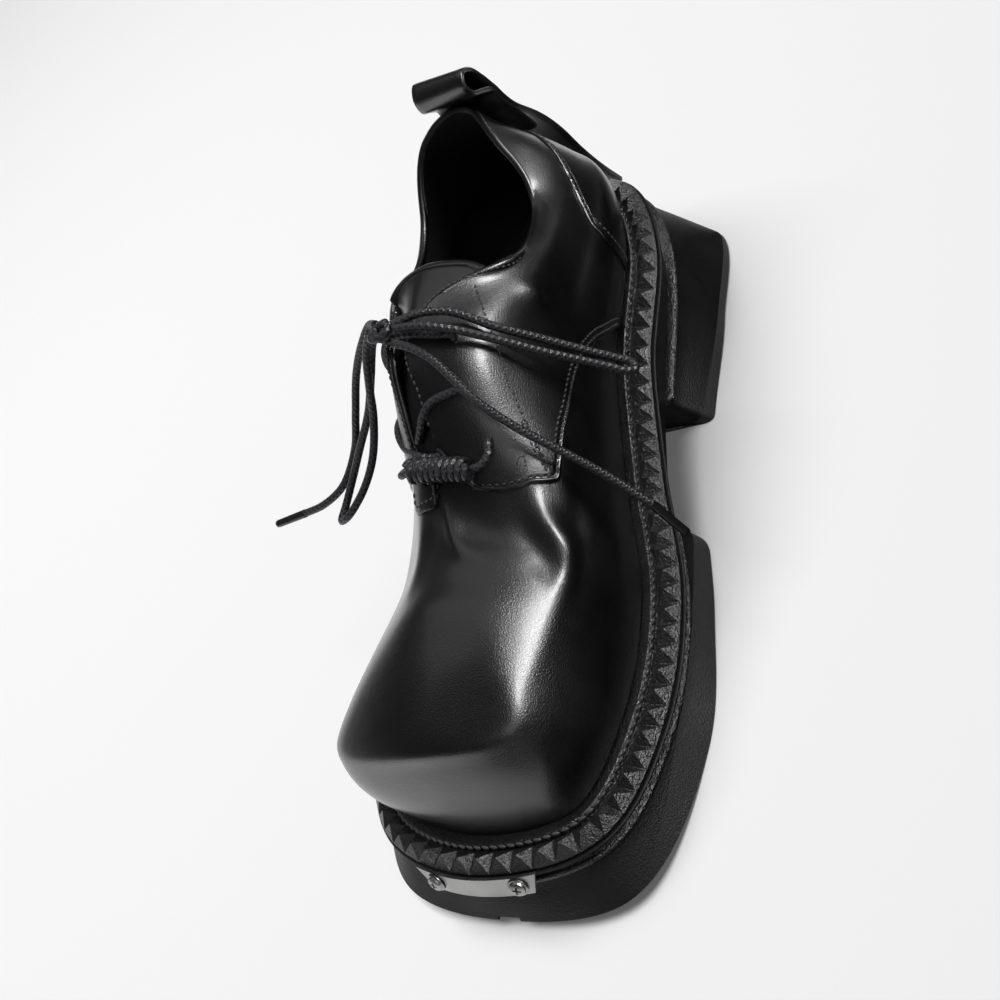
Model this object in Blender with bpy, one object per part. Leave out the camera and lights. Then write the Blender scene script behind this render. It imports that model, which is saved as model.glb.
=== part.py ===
"""A chunky square-toed derby shoe for the right foot, standing empty on its sole.

The shoe is laid out in millimetres as (across, along, up): across is positive toward the big
toe side, along runs from the back of the heel toward the toe, up is the height above the floor.
The world frame is +Z up with the toe toward -Y and the big toe side toward +X.
"""
import bpy
import bmesh
import numpy as np
from mathutils import Matrix

MM = 0.001
GAP = 0.3                    # clearance between pieces that touch
CENTRE_ACROSS = -0.16          # middle of the standing shoe's box
CENTRE_ALONG = 148.32

# Two lines seen from above, clockwise from the toe: the middle of the welt band, and the edge
# of the tread on the floor.
PLAN = (
    # band across, band along, tread across, tread along
    (1.8, 294.9, 2.0, 307.0),        # 0 toe
    (43.5, 286.0, 52.0, 299.5),      # 1 inner toe corner
    (56.6, 248.0, 69.3, 248.0),      # 2 inner toe side
    (56.6, 198.0, 65.8, 198.0),      # 3 inner ball
    (45.7, 149.0, 57.5, 149.0),      # 4 inner joint
    (39.6, 101.0, 55.5, 101.0),      # 5 inner waist
    (42.4, 54.0, 54.5, 54.0),        # 6 inner heel side
    (29.5, 21.0, 47.0, 2.0),         # 7 inner heel corner
    (0.5, 12.0, 0.5, -7.0),          # 8 heel back
    (-28.5, 21.5, -45.0, 4.5),       # 9 outer heel corner
    (-41.8, 54.0, -54.0, 54.0),      # 10 outer heel side
    (-43.4, 99.0, -54.5, 99.0),      # 11 outer waist
    (-51.5, 148.5, -60.5, 149.0),    # 12 outer joint
    (-59.3, 197.5, -68.5, 198.0),    # 13 outer ball
    (-57.5, 244.0, -68.0, 246.0),    # 14 outer toe side
    (-37.5, 279.5, -45.0, 292.5),    # 15 outer toe corner
)
STATIONS = len(PLAN)

# How the sole changes from heel to toe.
SOLE = (
    # along, band height, midsole depth, bead drop, bead reach, toe spring
    (8.0, 58.5, 12.2, 14.5, 7.0, 0.0),
    (50.0, 50.0, 12.2, 14.5, 7.0, 0.0),
    (100.0, 36.5, 17.0, 14.0, 6.5, 0.0),
    (125.0, 30.0, 13.5, 12.0, 6.0, 0.0),
    (150.0, 25.5, 9.8, 10.0, 5.2, 0.0),
    (175.0, 22.0, 7.6, 9.6, 5.0, 0.0),
    (200.0, 20.0, 7.6, 9.6, 5.0, 0.0),
    (225.0, 19.5, 7.6, 9.6, 5.0, 0.0),
    (250.0, 21.0, 7.6, 9.6, 5.0, 0.0),
    (275.0, 24.5, 7.6, 9.8, 5.2, 1.5),
    (300.0, 29.5, 7.6, 10.2, 5.6, 4.5),
)
SHOULDER_ALONG = 160.0       # back edge of the forefoot platform
SHOULDER_RADIUS = 11.0
SHOULDER_BOW = 2.0           # the back edge is hollow by this much in its middle
BREAST_ALONG = 107.5         # front face of the heel block
BREAST_RADIUS = 4.0
BREAST_BOW = 4.0
BLOCK_NECK = 3.0             # reach of the neck above the bead
BEAD_RADIUS = 1.3
BEAD_SECTION = (
    # how far out toward the bead's reach, height above its middle
    (0.0, None),             # neck, up against the midsole
    (0.75, 1.1),
    (1.0, 0.0),
    (0.75, -1.1),
)
GROOVES = (
    # name, across from, across to, along from, along to, up to
    ("outsole", -50.0, 46.0, 172.5, 179.5, 2.6),
    ("outsole", -53.0, 50.0, 192.5, 199.5, 2.6),
    ("outsole", -54.0, 52.0, 212.5, 219.5, 2.6),
    ("outsole", -54.0, 53.0, 232.5, 239.5, 2.6),
    ("outsole", -50.0, 50.0, 252.5, 259.5, 2.8),
    ("outsole", 0.2, 9.2, 284.0, 320.0, 6.4),
    ("heel", -36.0, 37.0, 14.5, 21.5, 2.6),
    ("heel", -40.0, 41.0, 34.5, 41.5, 2.6),
    ("heel", -41.0, 42.0, 54.5, 61.5, 2.6),
    ("heel", -41.0, 42.0, 74.5, 81.5, 2.6),
)
BLOCK_SIDE = 22              # points along each side, round each corner and across each end
BLOCK_CORNER = 5
BLOCK_END = 4

# Section of the welt: reach from the band line, height above it.
WELT_SECTION = (
    (-14.0, 1.2),
    (-4.8, 1.5),             # stitched lip
    (-4.3, 0.7),
    (-4.0, -0.9),            # groove between lip and band
    (-3.6, -0.5),
    (4.2, -2.3),             # outer edge of the band
    (4.2, -3.9),
    (-14.0, -3.9),
)
WELT_UNDERSIDE = 3.9

FOOT_INSET = 8.5             # the upper meets the welt this far inside the band line
FOOT_LIFT = 1.8
WALL = 2.0                   # leather and lining together

# How the upper rises from the welt at each plan station: how far it swells beyond the straight
# line up to the ridge, where it turns over at the ridge, and where it passes half way to the edge.
RIBS = (
    # swell, ridge (across, along, up), crown (across, along, up)
    (1.2, 0.0, 274.0, 68.0, -1.0, 229.0, 77.5),          # 0 toe
    (4.5, 30.5, 266.5, 64.0, 19.0, 232.0, 74.8),         # 1
    (4.0, 36.4, 249.0, 64.0, 24.0, 217.0, 74.3),         # 2
    (3.0, 41.5, 206.0, 63.5, 28.5, 191.0, 73.6),         # 3
    (3.0, 37.5, 150.0, 80.0, 25.0, 149.0, 107.0),        # 4
    (3.5, 35.0, 103.0, 80.0, 34.5, 107.0, 97.0),         # 5
    (4.0, 35.0, 55.0, 78.0, 29.5, 57.0, 91.0),           # 6
    (4.0, 26.5, 27.0, 82.0, 22.0, 36.5, 103.0),          # 7
    (2.5, 0.5, 18.5, 82.0, 0.5, 26.0, 106.0),            # 8 heel back
    (4.0, -26.5, 27.5, 82.0, -24.0, 31.5, 104.0),        # 9
    (4.0, -36.5, 54.0, 76.0, -34.0, 53.0, 91.0),         # 10
    (3.5, -37.0, 101.0, 70.0, -31.5, 101.0, 89.0),       # 11
    (2.5, -40.0, 148.0, 52.0, -26.0, 149.0, 78.0),       # 12
    (3.5, -47.0, 198.0, 38.0, -29.0, 190.0, 57.5),       # 13
    (4.5, -45.0, 244.0, 51.5, -26.0, 222.0, 64.5),       # 14
    (8.0, -38.5, 264.5, 60.5, -19.0, 230.0, 71.0),       # 15
)

# The edge of the opening: throat slot, facing tops and collar.
OPENING = (
    # plan station, across, along, up
    (0.0, -1.0, 183.0, 86.5),
    (1.5, 2.5, 181.5, 87.2),
    (2.4, 4.5, 175.0, 92.5),
    (3.0, 4.5, 168.0, 101.5),
    (3.5, 4.0, 160.0, 109.5),
    (3.9, 2.0, 150.0, 118.0),
    (4.1, 3.5, 142.0, 120.0),
    (4.3, 7.0, 133.5, 120.3),
    (4.5, 12.0, 125.0, 118.4),
    (4.7, 19.0, 118.7, 115.6),
    (4.88, 26.0, 113.6, 112.3),
    (5.02, 30.5, 108.7, 108.5),
    (5.25, 27.8, 94.0, 101.0),
    (5.5, 25.2, 80.0, 96.5),
    (5.75, 23.5, 68.6, 95.7),
    (6.05, 22.0, 59.7, 100.2),
    (6.4, 19.5, 53.5, 106.5),
    (6.8, 15.8, 49.0, 114.5),
    (7.15, 12.0, 43.0, 119.5),
    (7.5, 8.0, 36.5, 123.3),
    (8.0, 0.5, 31.5, 124.6),
    (8.6, -9.0, 32.0, 124.4),
    (9.1, -16.5, 34.5, 121.6),
    (9.5, -22.5, 38.4, 117.4),
    (9.8, -27.0, 43.8, 110.7),
    (10.05, -29.5, 50.9, 103.4),
    (10.25, -30.0, 60.0, 97.5),
    (10.5, -29.0, 73.0, 96.0),
    (10.75, -27.5, 86.0, 98.1),
    (11.0, -25.5, 98.0, 103.0),
    (11.25, -24.0, 106.0, 106.5),
    (11.5, -18.5, 117.0, 111.0),
    (11.75, -12.0, 128.0, 115.6),
    (12.0, -7.5, 141.0, 118.0),
    (12.15, -6.5, 148.0, 117.2),
    (12.6, -6.0, 162.0, 105.8),
    (13.2, -6.0, 173.7, 93.0),
    (14.3, -4.5, 181.0, 87.5),
)

# The heel counter lies over the upper's back, between two ends and below a top seam.
COUNTER_ENDS = (
    # share of its height, inner end's station, outer end's station
    (0.0, 5.78, 10.22),
    (0.4, 5.71, 10.29),
    (0.65, 5.73, 10.27),
    (0.88, 5.89, 10.11),
    (0.957, 6.10, 9.90),
    (1.0, 6.35, 9.65),
)
COUNTER_TOP = (
    # share of the way round, how far up the upper
    (0.0, 0.73),
    (0.15, 0.745),
    (0.3, 0.755),
    (0.5, 0.745),
    (0.7, 0.755),
    (0.85, 0.745),
    (1.0, 0.73),
)
COUNTER_WALL = 1.2
COUNTER_FOOT = 0.03
COUNTER_SEAT = 1.0          # clearance from the upper at the counter's own points

# Rows of the tongue from its root under the vamp to its free top.
TONGUE = (
    # along, up at the middle, half width (outer, inner side), fall at its edges (outer, inner)
    (192.0, 81.4, 9.0, 10.0, 2.8, 1.2),
    (183.0, 83.2, 12.0, 13.0, 5.0, 0.8),
    (174.0, 90.0, 14.0, 14.0, 9.8, 1.0),
    (165.0, 99.0, 14.0, 16.0, 12.8, 2.0),
    (155.0, 107.4, 14.0, 17.0, 14.8, 2.6),
    (145.0, 112.6, 14.0, 18.0, 15.2, 4.0),
    (135.0, 114.8, 14.5, 19.5, 13.4, 5.4),
    (125.0, 116.0, 16.5, 21.0, 12.7, 7.2),
    (116.0, 116.8, 17.0, 22.0, 8.9, 7.8),
    (109.0, 117.2, 19.5, 22.0, 5.5, 7.4),
)
TONGUE_WALL = 3.0
TONGUE_CORNER = 4.0          # the free top's corners are rounded off by this much

# The pull loop is a strap sewn to the back of the collar: it folds over above the collar and
# ends in a free tail behind the heel.
STRAP_WIDTH = 27.0
STRAP_WALL = 2.0
STRAP_ROUTE = (
    # along, up
    (22.7, 106.5),           # sewn end, against the collar
    (25.1, 112.0),
    (27.1, 116.5),
    (28.5, 121.0),
    (29.3, 126.0),
    (34.5, 130.5),
    (39.5, 134.5),
    (39.8, 139.0),
    (35.5, 141.8),           # top of the fold
    (30.5, 138.5),
    (28.0, 132.0),
    (26.4, 126.0),
    (25.0, 121.0),
    (23.1, 115.5),
    (20.9, 111.0),
    (18.4, 107.0),           # the seam
    (14.5, 100.0),
    (9.5, 91.0),
    (6.0, 82.0),
    (2.5, 68.0),
    (-3.0, 52.0),
    (-9.8, 37.0),            # free end of the tail
)
STRAP_ACROSS = 2.5
STRAP_LEAN_FROM = 124.0      # above this height the loop leans
STRAP_SKEW = 7.0             # the fold leans: its big toe side stands this much further along

PLATE_ENDS = (
    # end, top across, bottom across
    ("outer", -23.4, -18.1),
    ("inner", 26.9, 23.4),
)
PLATE_TOP = (5.3, -1.9)      # reach and height from the band line
PLATE_BOTTOM = (8.2, -9.4)
PLATE_WALL = 1.0
SCREW_ACROSS = (-15.0, 19.0)
WASHER_RADIUS = 3.6
SCREW_RADIUS = 2.9

LACE_RADIUS = 1.5
COIL_ENDS = ((-6.0, 182.2, 94.4), (19.4, 184.9, 91.0))
COIL_RADIUS = 4.6
COIL_LEADS = (
    ((18.0, 184.7, 91.2), (22.5, 183.5, 90.8), (25.3, 180.0, 91.5), (24.4, 174.4, 93.0)),
    ((-4.5, 182.1, 94.2), (-9.5, 181.5, 93.0), (-13.5, 178.5, 89.5), (-15.3, 174.5, 86.5)),
)
CROSSINGS = (
    ((20.2, 161.8, 105.7), (14.0, 163.5, 107.2), (8.0, 165.5, 107.0), (4.0, 167.5, 104.5),
     (0.0, 170.0, 99.8), (-3.0, 171.5, 96.3)),
    ((-14.6, 160.7, 97.7), (-12.0, 162.0, 102.5), (-8.2, 164.0, 105.6), (-3.5, 166.5, 104.2),
     (0.0, 169.5, 100.5), (2.0, 172.0, 97.5)),
)
TOP_BAR = ((18.2, 144.9, 115.3), (12.0, 145.0, 118.0), (6.0, 145.0, 120.7), (0.0, 144.5, 121.6),
           (-5.0, 144.5, 121.0), (-9.5, 144.5, 117.5), (-13.5, 145.0, 109.0), (-14.6, 145.0, 106.3))
KNOT = (-4.0, 146.0, 126.4)
KNOT_SIZE = (5.6, 4.2, 3.3)

# Free laces: routes from the knot outward.
LOOSE_LACES = (
    ("lace_loop_medial", (
        (2.2, 145.5, 128.0), (9.0, 141.6, 126.2), (17.0, 138.5, 121.2), (31.0, 140.0, 108.8),
        (42.0, 137.9, 94.8), (53.0, 136.6, 82.0), (59.0, 135.9, 75.2), (62.6, 136.0, 71.4),
        (63.6, 137.9, 70.4), (61.8, 139.8, 72.2), (57.5, 140.4, 76.8), (52.0, 141.0, 82.6),
        (41.0, 143.0, 95.4), (30.0, 144.6, 108.8), (20.0, 145.6, 119.0), (10.0, 146.0, 125.0),
        (2.6, 147.0, 127.6))),
    ("lace_end_medial", (
        (0.6, 149.8, 123.8), (7.5, 152.5, 122.0), (14.5, 156.5, 118.5), (20.0, 161.5, 113.4),
        (26.0, 167.4, 107.0), (35.0, 171.8, 92.8), (44.0, 174.2, 80.2), (54.0, 176.8, 65.7),
        (64.8, 181.2, 49.7))),
    ("lace_loop_lateral", (
        (-9.6, 144.0, 126.6), (-15.0, 145.1, 121.0), (-22.0, 150.4, 108.6), (-28.0, 154.8, 96.8),
        (-36.0, 164.4, 84.2), (-46.0, 172.5, 76.0), (-55.0, 176.8, 71.5), (-58.5, 176.0, 70.0),
        (-57.0, 170.5, 71.5), (-51.5, 164.0, 77.0), (-42.0, 157.5, 86.5), (-31.0, 151.0, 97.5),
        (-22.5, 145.3, 109.0), (-15.0, 141.6, 119.0), (-9.8, 142.0, 124.0))),
    ("lace_end_lateral", (
        (-7.5, 141.2, 126.8), (-13.0, 137.6, 124.5), (-23.0, 138.0, 116.8), (-33.0, 140.0, 106.6),
        (-42.0, 146.5, 93.4), (-50.0, 153.0, 81.6), (-60.0, 162.5, 73.4), (-71.0, 166.2, 70.2),
        (-81.6, 166.7, 68.5))),
)
AGLETS = (
    # name, start, end
    ("aglet_medial", (65.1, 181.4, 49.3), (72.0, 185.8, 35.2)),
    ("aglet_lateral", (-82.2, 166.8, 68.4), (-98.0, 167.7, 67.0)),
)
AGLET_RADIUS = 1.7

UPPER_ROUND = 68             # columns round the upper
UPPER_RISE = 11              # rows from welt to opening
SOLE_ROUND = 60


def slopes(knots, values):
    """Tangents at each knot, weighted by the neighbouring spans."""
    spans = np.diff(knots)[:, None]
    rates = np.diff(values, axis=0) / spans
    inner = (rates[:-1] * spans[1:] + rates[1:] * spans[:-1]) / (spans[1:] + spans[:-1])
    return np.vstack([rates[:1], inner, rates[-1:]])


def read_table(rows, where, period=None):
    """Read a table smoothly: its first column is the place and the rest are values."""
    rows = np.array(rows, float)
    knots, values = rows[:, 0], rows[:, 1:]
    where = np.atleast_1d(np.array(where, float))
    if period:
        knots = np.concatenate([knots[-3:] - period, knots, knots[:3] + period])
        values = np.vstack([values[-3:], values, values[:3]])
        where = np.mod(where, period)
    else:
        where = np.clip(where, knots[0], knots[-1])
    tangents = slopes(knots, values)
    low = np.clip(np.searchsorted(knots, where, side="right") - 1, 0, len(knots) - 2)
    span = (knots[low + 1] - knots[low])[:, None]
    t = (where - knots[low])[:, None] / span
    return ((2 * t**3 - 3 * t**2 + 1) * values[low] + (t**3 - 2 * t**2 + t) * span * tangents[low]
            + (3 * t**2 - 2 * t**3) * values[low + 1] + (t**3 - t**2) * span * tangents[low + 1])


def numbered(rows):
    """Put each row's own number in front of it."""
    return [(number, *row) for number, row in enumerate(rows)]


def plan_line(stations, column=0):
    """Points and outward directions of a plan line: column 0 is the band, column 2 the tread."""
    rows = [(number, *row[column:column + 2]) for number, row in enumerate(PLAN)]
    here = read_table(rows, stations, STATIONS)
    ahead = read_table(rows, np.array(stations) + 0.02, STATIONS)
    behind = read_table(rows, np.array(stations) - 0.02, STATIONS)
    along = ahead - behind
    along /= np.linalg.norm(along, axis=1)[:, None]
    return here, np.column_stack([along[:, 1] * -1, along[:, 0]])


def plan_points(stations, reach=0.0):
    """Points of the band line, moved outward by reach."""
    here, outward = plan_line(stations)
    return here + outward * np.reshape(reach, (-1, 1)), outward


def run_length(points):
    """Distance covered on reaching each point of a line."""
    return np.concatenate([[0.0], np.cumsum(np.linalg.norm(np.diff(points, axis=0), axis=1))])


def spaced_stations(count, start, end):
    """Station values that are evenly spaced along the band line between start and end."""
    fine = np.linspace(start, end, 600)
    run = run_length(plan_line(fine)[0])
    return np.interp(np.linspace(0.0, run[-1], count), run, fine)


def paired_stations(count):
    """Stations round the shoe, the same number on each side between toe and heel."""
    half = count // 2
    inner = spaced_stations(half + 1, 0.0, STATIONS / 2)
    outer = spaced_stations(half + 1, STATIONS / 2, STATIONS)
    return np.concatenate([inner[:-1], outer[:-1]])


def sole_at(along):
    """Columns of the sole table at these lengths."""
    return read_table(SOLE, along)


def band_height(along):
    return sole_at(along)[:, 0]


def ring(stations, reach, lift):
    """A closed line round the shoe: reach outside the band line, lift above it."""
    points, _ = plan_points(stations, reach)
    return np.column_stack([points, band_height(points[:, 1]) + lift])


def to_world(points):
    points = np.asarray(points, float)
    across, along, up = points[..., 0], points[..., 1], points[..., 2]
    return np.stack([across - CENTRE_ACROSS, CENTRE_ALONG - along, up], axis=-1) * MM


def material(name, colour, roughness, metallic=0.0):
    made = bpy.data.materials.get(name)
    if made is None:
        made = bpy.data.materials.new(name)
        made.use_nodes = True
        shader = made.node_tree.nodes["Principled BSDF"]
        shader.inputs["Base Color"].default_value = (*colour, 1.0)
        shader.inputs["Roughness"].default_value = roughness
        shader.inputs["Metallic"].default_value = metallic
    return made


def leather():
    return material("black leather", (0.012, 0.012, 0.014), 0.3)


def rubber():
    return material("black rubber", (0.014, 0.014, 0.015), 0.55)


def lining():
    return material("black lining", (0.01, 0.01, 0.011), 0.8)


def cord():
    return material("waxed cord", (0.016, 0.016, 0.017), 0.45)


def aglet():
    return material("aglet", (0.02, 0.02, 0.02), 0.25)


def steel():
    return material("brushed steel", (0.55, 0.55, 0.55), 0.35, 1.0)


def add_object(name, bm, finish, smooth_angle=0.7):
    """Turn a bmesh into an object whose faces all point outward."""
    bmesh.ops.recalc_face_normals(bm, faces=bm.faces)
    return add_sheet(name, bm, finish, smooth_angle)


def add_sheet(name, bm, finish, smooth_angle=0.7):
    """Turn a bmesh into an object, its faces left as they point."""
    mesh = bpy.data.meshes.new(name)
    bm.to_mesh(mesh)
    bm.free()
    mesh.shade_smooth()
    mesh.set_sharp_from_angle(angle=smooth_angle)
    mesh.materials.append(finish)
    made = bpy.data.objects.new(name, mesh)
    bpy.context.collection.objects.link(made)
    return made


def add_loops(bm, loops, closed_round=True):
    """Add lines of points and join each line to the next with faces; returns rows of vertices."""
    rows = [[bm.verts.new(point) for point in to_world(loop)] for loop in loops]
    for upper_row, lower_row in zip(rows, rows[1:]):
        join_rows(bm, upper_row, lower_row, closed_round)
    return rows


def join_rows(bm, upper_row, lower_row, closed_round=True):
    count = len(upper_row)
    for i in range(count if closed_round else count - 1):
        j = (i + 1) % count
        bm.faces.new((upper_row[i], upper_row[j], lower_row[j], lower_row[i]))


def add_cap(bm, row):
    """Close a loop with strips that run straight across the shoe."""
    count = len(row)
    half = count // 2
    bm.faces.new((row[0], row[1], row[-1]))
    bm.faces.new((row[half - 1], row[half], row[half + 1]))
    for i in range(1, half - 1):
        bm.faces.new((row[i], row[i + 1], row[count - i - 1], row[count - i]))


def stack(name, loops, finish):
    """A solid made of loops one under the other, closed at the top and the bottom."""
    bm = bmesh.new()
    rows = add_loops(bm, loops)
    add_cap(bm, rows[0])
    add_cap(bm, rows[-1])
    return add_object(name, bm, finish)


def block_half(line, middle, last, cut, radius, bow):
    """One side of a block's outline, from its far end along the side to the middle of its cut."""
    points = line(np.linspace(middle, last, 500))
    beyond = (points[:, 1] - cut) * (points[0, 1] - cut) <= 0
    points = points[:np.argmax(beyond) + 1]
    run = run_length(points)
    kept_run = np.linspace(0.0, run[-1] - radius, BLOCK_SIDE)
    kept = np.column_stack([np.interp(kept_run, run, points[:, k]) for k in (0, 1)])
    corner = np.array([points[-1, 0], cut])
    leave = corner - np.array([np.sign(corner[0]) * radius, 0.0])
    t = np.linspace(0.0, 1.0, BLOCK_CORNER + 1)[1:, None]
    bend = (1 - t)**2 * kept[-1] + 2 * t * (1 - t) * corner + t**2 * leave
    share = np.linspace(1.0, 0.0, BLOCK_END + 1)[1:]
    hollow = bow * np.sign(points[0, 1] - cut) * (1 - share**2)
    end_line = np.column_stack([leave[0] * share, cut + hollow])
    return np.vstack([kept, bend, end_line])


def block_loop(line, front, cut, radius, bow):
    """Outline of the forefoot platform (front) or of the heel block, with rounded corners.

    The loop starts at the toe, or at the back of the heel, and runs round so that the point
    numbered i on one side faces the point numbered -i on the other.
    """
    middle = 0.0 if front else STATIONS / 2
    inner_last = middle + 5.5 if front else middle - 5.5
    outer_last = middle - 5.5 if front else middle + 5.5
    first = block_half(line, middle, inner_last, cut, radius, bow)
    second = block_half(line, middle, outer_last, cut, radius, bow)
    return np.vstack([first, second[-2:0:-1]])


def block_solid(name, front, finish):
    """The platform under the forefoot, or the heel block: bead, flared wall and flat tread."""
    cut = SHOULDER_ALONG if front else BREAST_ALONG
    radius = SHOULDER_RADIUS if front else BREAST_RADIUS
    bow = SHOULDER_BOW if front else BREAST_BOW

    def outline(bead_share, tread_share, inset=0.0):
        def line(stations):
            band, outward = plan_line(stations)
            tread, tread_outward = plan_line(stations, 2)
            reach = BLOCK_NECK + (sole_at(band[:, 1])[:, 3] - BLOCK_NECK) * bead_share
            bead = band + outward * reach[:, None]
            return bead + (tread - tread_outward * inset - bead) * tread_share
        return block_loop(line, front, cut, radius, bow)

    loops = []
    for bead_share, rise in BEAD_SECTION:
        plan = outline(bead_share, 0.0)
        columns = sole_at(plan[:, 1])
        under_midsole = columns[:, 0] - columns[:, 1] - GAP
        bead = np.minimum(columns[:, 0] - columns[:, 2], under_midsole - BEAD_RADIUS)
        height = under_midsole if rise is None else bead + rise
        loops.append(np.column_stack([plan, height]))
    low = loops[-1][:, 2]
    for tread_share, inset in ((0.5, 0.0), (0.95, 0.0), (1.0, 0.9)):
        plan = outline(0.7, tread_share, inset)
        floor = np.maximum(sole_at(plan[:, 1])[:, 4], 0.0)
        loops.append(np.column_stack([plan, low + (floor - low) * tread_share]))
    return stack(name, loops, finish)


def cut_grooves(block):
    """Sink the tread grooves into a block's underside."""
    bm = bmesh.new()
    for name, across_from, across_to, along_from, along_to, up_to in GROOVES:
        if name != block.name:
            continue
        low, high = to_world([(across_from, along_to, -3.0), (across_to, along_from, up_to)])
        size = Matrix.Diagonal((*(high - low), 1.0))
        bmesh.ops.create_cube(bm, size=1.0, matrix=Matrix.Translation((low + high) / 2) @ size)
    cutter = add_object(block.name + " grooves", bm, rubber())
    cutter.hide_render = True
    cutter.display_type = "WIRE"
    block.modifiers.new("facets", "TRIANGULATE")
    cut = block.modifiers.new("grooves", "BOOLEAN")
    cut.operation = "DIFFERENCE"
    cut.object = cutter


def make_midsole():
    stations = paired_stations(SOLE_ROUND)
    middle = ring(stations, -14.0, -WELT_UNDERSIDE - GAP)
    under_band = ring(stations, 4.2, -WELT_UNDERSIDE - GAP)
    top = ring(stations, 5.1, -WELT_UNDERSIDE - GAP)
    ledge = ring(stations, 5.6, -WELT_UNDERSIDE - GAP - 0.7)
    under_ledge = ring(stations, 5.0, -WELT_UNDERSIDE - GAP - 1.5)
    plan, _ = plan_points(stations, 3.2)
    depth = sole_at(plan[:, 1])[:, 1]
    height = band_height(plan[:, 1])
    groove = np.column_stack([plan, height - (WELT_UNDERSIDE + GAP + 1.5) * 0.6 - depth * 0.4])
    neck, _ = plan_points(stations, 3.0)
    bottom = np.column_stack([neck, band_height(neck[:, 1]) - sole_at(neck[:, 1])[:, 1]])
    loops = [middle, under_band, top, ledge, under_ledge, groove, bottom]
    return stack("midsole", loops, rubber())


def make_welt():
    stations = paired_stations(SOLE_ROUND)
    bm = bmesh.new()
    rows = add_loops(bm, [ring(stations, reach, lift) for reach, lift in WELT_SECTION])
    join_rows(bm, rows[-1], rows[0])
    return add_object("welt", bm, rubber())


def make_insole():
    stations = paired_stations(56)
    inset = -(FOOT_INSET + WALL + 1.2)
    low = WELT_SECTION[0][1] + 0.3 + GAP
    return stack("insole", [ring(stations, inset, low + 3.0), ring(stations, inset, low)], lining())


def rib_marks(stations):
    """The seven marks that each rib of the upper runs through, from the welt to the opening."""
    foot, outward = plan_points(stations, -FOOT_INSET)
    foot = np.column_stack([foot, band_height(foot[:, 1]) + FOOT_LIFT])
    out = np.column_stack([outward, 0 * outward[:, 0]])
    columns = read_table(numbered(RIBS), stations, STATIONS)
    swell, ridge, crown = columns[:, :1], columns[:, 1:4], columns[:, 4:7]
    edge = read_table(OPENING, stations, STATIONS)
    rise = ridge - foot
    marks = [foot, foot + rise * 0.28 + out * swell * 0.8, foot + rise * 0.55 + out * swell,
             foot + rise * 0.82 + out * swell * 0.7, ridge, crown, edge]
    return np.stack(marks, axis=1)


def upper_point(stations, rise):
    """Points of the upper's outer face: rise runs from 0 at the welt to 1 at the opening."""
    stations = np.atleast_1d(np.array(stations, float))
    rise = np.broadcast_to(np.array(rise, float), stations.shape)
    marks = rib_marks(stations)
    steps = np.sqrt(np.linalg.norm(np.diff(marks, axis=1), axis=2))
    knots = np.concatenate([np.zeros((len(stations), 1)), np.cumsum(steps, axis=1)], axis=1)
    rows = [read_table(np.column_stack([knot, mark]), share * knot[-1])[0]
            for knot, mark, share in zip(knots, marks, rise)]
    return np.array(rows)


def proud_point(stations, rise, proud):
    """Points that stand off the upper's outer face by proud."""
    step = 0.02
    rise = np.broadcast_to(np.array(rise, float), np.shape(stations))
    here = upper_point(stations, rise)
    onward = upper_point(np.array(stations) + step, rise) - here
    upward = upper_point(stations, np.minimum(rise + step, 1.0)) - \
        upper_point(stations, np.maximum(rise - step, 0.0))
    normal = np.cross(upward, onward)
    return here + proud * normal / np.linalg.norm(normal, axis=1)[:, None]


def make_upper():
    stations = paired_stations(UPPER_ROUND)
    bm = bmesh.new()
    add_loops(bm, [upper_point(stations, rise) for rise in np.linspace(1.0, 0.0, UPPER_RISE + 1)])
    made = add_object("upper", bm, leather())
    thickness = made.modifiers.new("wall", "SOLIDIFY")
    thickness.thickness = WALL * MM
    thickness.offset = -1.0
    thickness.use_quality_normals = True
    return made


def make_heel_counter():
    round_share = np.linspace(0.0, 1.0, 25)
    tops = read_table(COUNTER_TOP, round_share)[:, 0]
    rows = []
    for share in np.linspace(1.0, 0.0, 7):
        inner, outer = read_table(COUNTER_ENDS, share)[0]
        stations = inner + (outer - inner) * round_share
        rises = COUNTER_FOOT + (tops - COUNTER_FOOT) * share
        rows.append(proud_point(stations, rises, COUNTER_SEAT))
    bm = bmesh.new()
    add_loops(bm, rows, closed_round=False)
    made = add_object("heel_counter", bm, leather())
    thickness = made.modifiers.new("wall", "SOLIDIFY")
    thickness.thickness = COUNTER_WALL * MM
    thickness.offset = 1.0
    return made


def make_tongue():
    along = np.linspace(TONGUE[0][0], TONGUE[-1][0], 18)
    shares = np.linspace(-1.0, 1.0, 11)
    size = abs(shares)
    rows = []
    for row_along, columns in zip(along, read_table(TONGUE[::-1], along)):
        up, outer_half, inner_half, outer_fall, inner_fall = columns
        half = np.where(shares < 0, outer_half, inner_half)
        fall = np.where(shares < 0, outer_fall, inner_fall)
        corner = TONGUE_CORNER * size**6 * (row_along == along[-1])
        rows.append(np.column_stack([shares * half, row_along + corner, up - fall * size**1.7]))
    bm = bmesh.new()
    add_loops(bm, rows, closed_round=False)
    made = add_sheet("tongue", bm, leather())
    thickness = made.modifiers.new("wall", "SOLIDIFY")
    thickness.thickness = TONGUE_WALL * MM
    thickness.offset = -1.0
    return made


def smooth_route(route, count):
    """Read a smooth line through a few route points, evenly spaced along its length."""
    route = np.array(route, float)
    knots = run_length(route)
    fine = read_table(np.column_stack([knots, route]), np.linspace(0.0, knots[-1], 400))
    run = run_length(fine)
    places = np.linspace(0.0, run[-1], count)
    return np.column_stack([np.interp(places, run, fine[:, k]) for k in range(fine.shape[1])])


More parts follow.
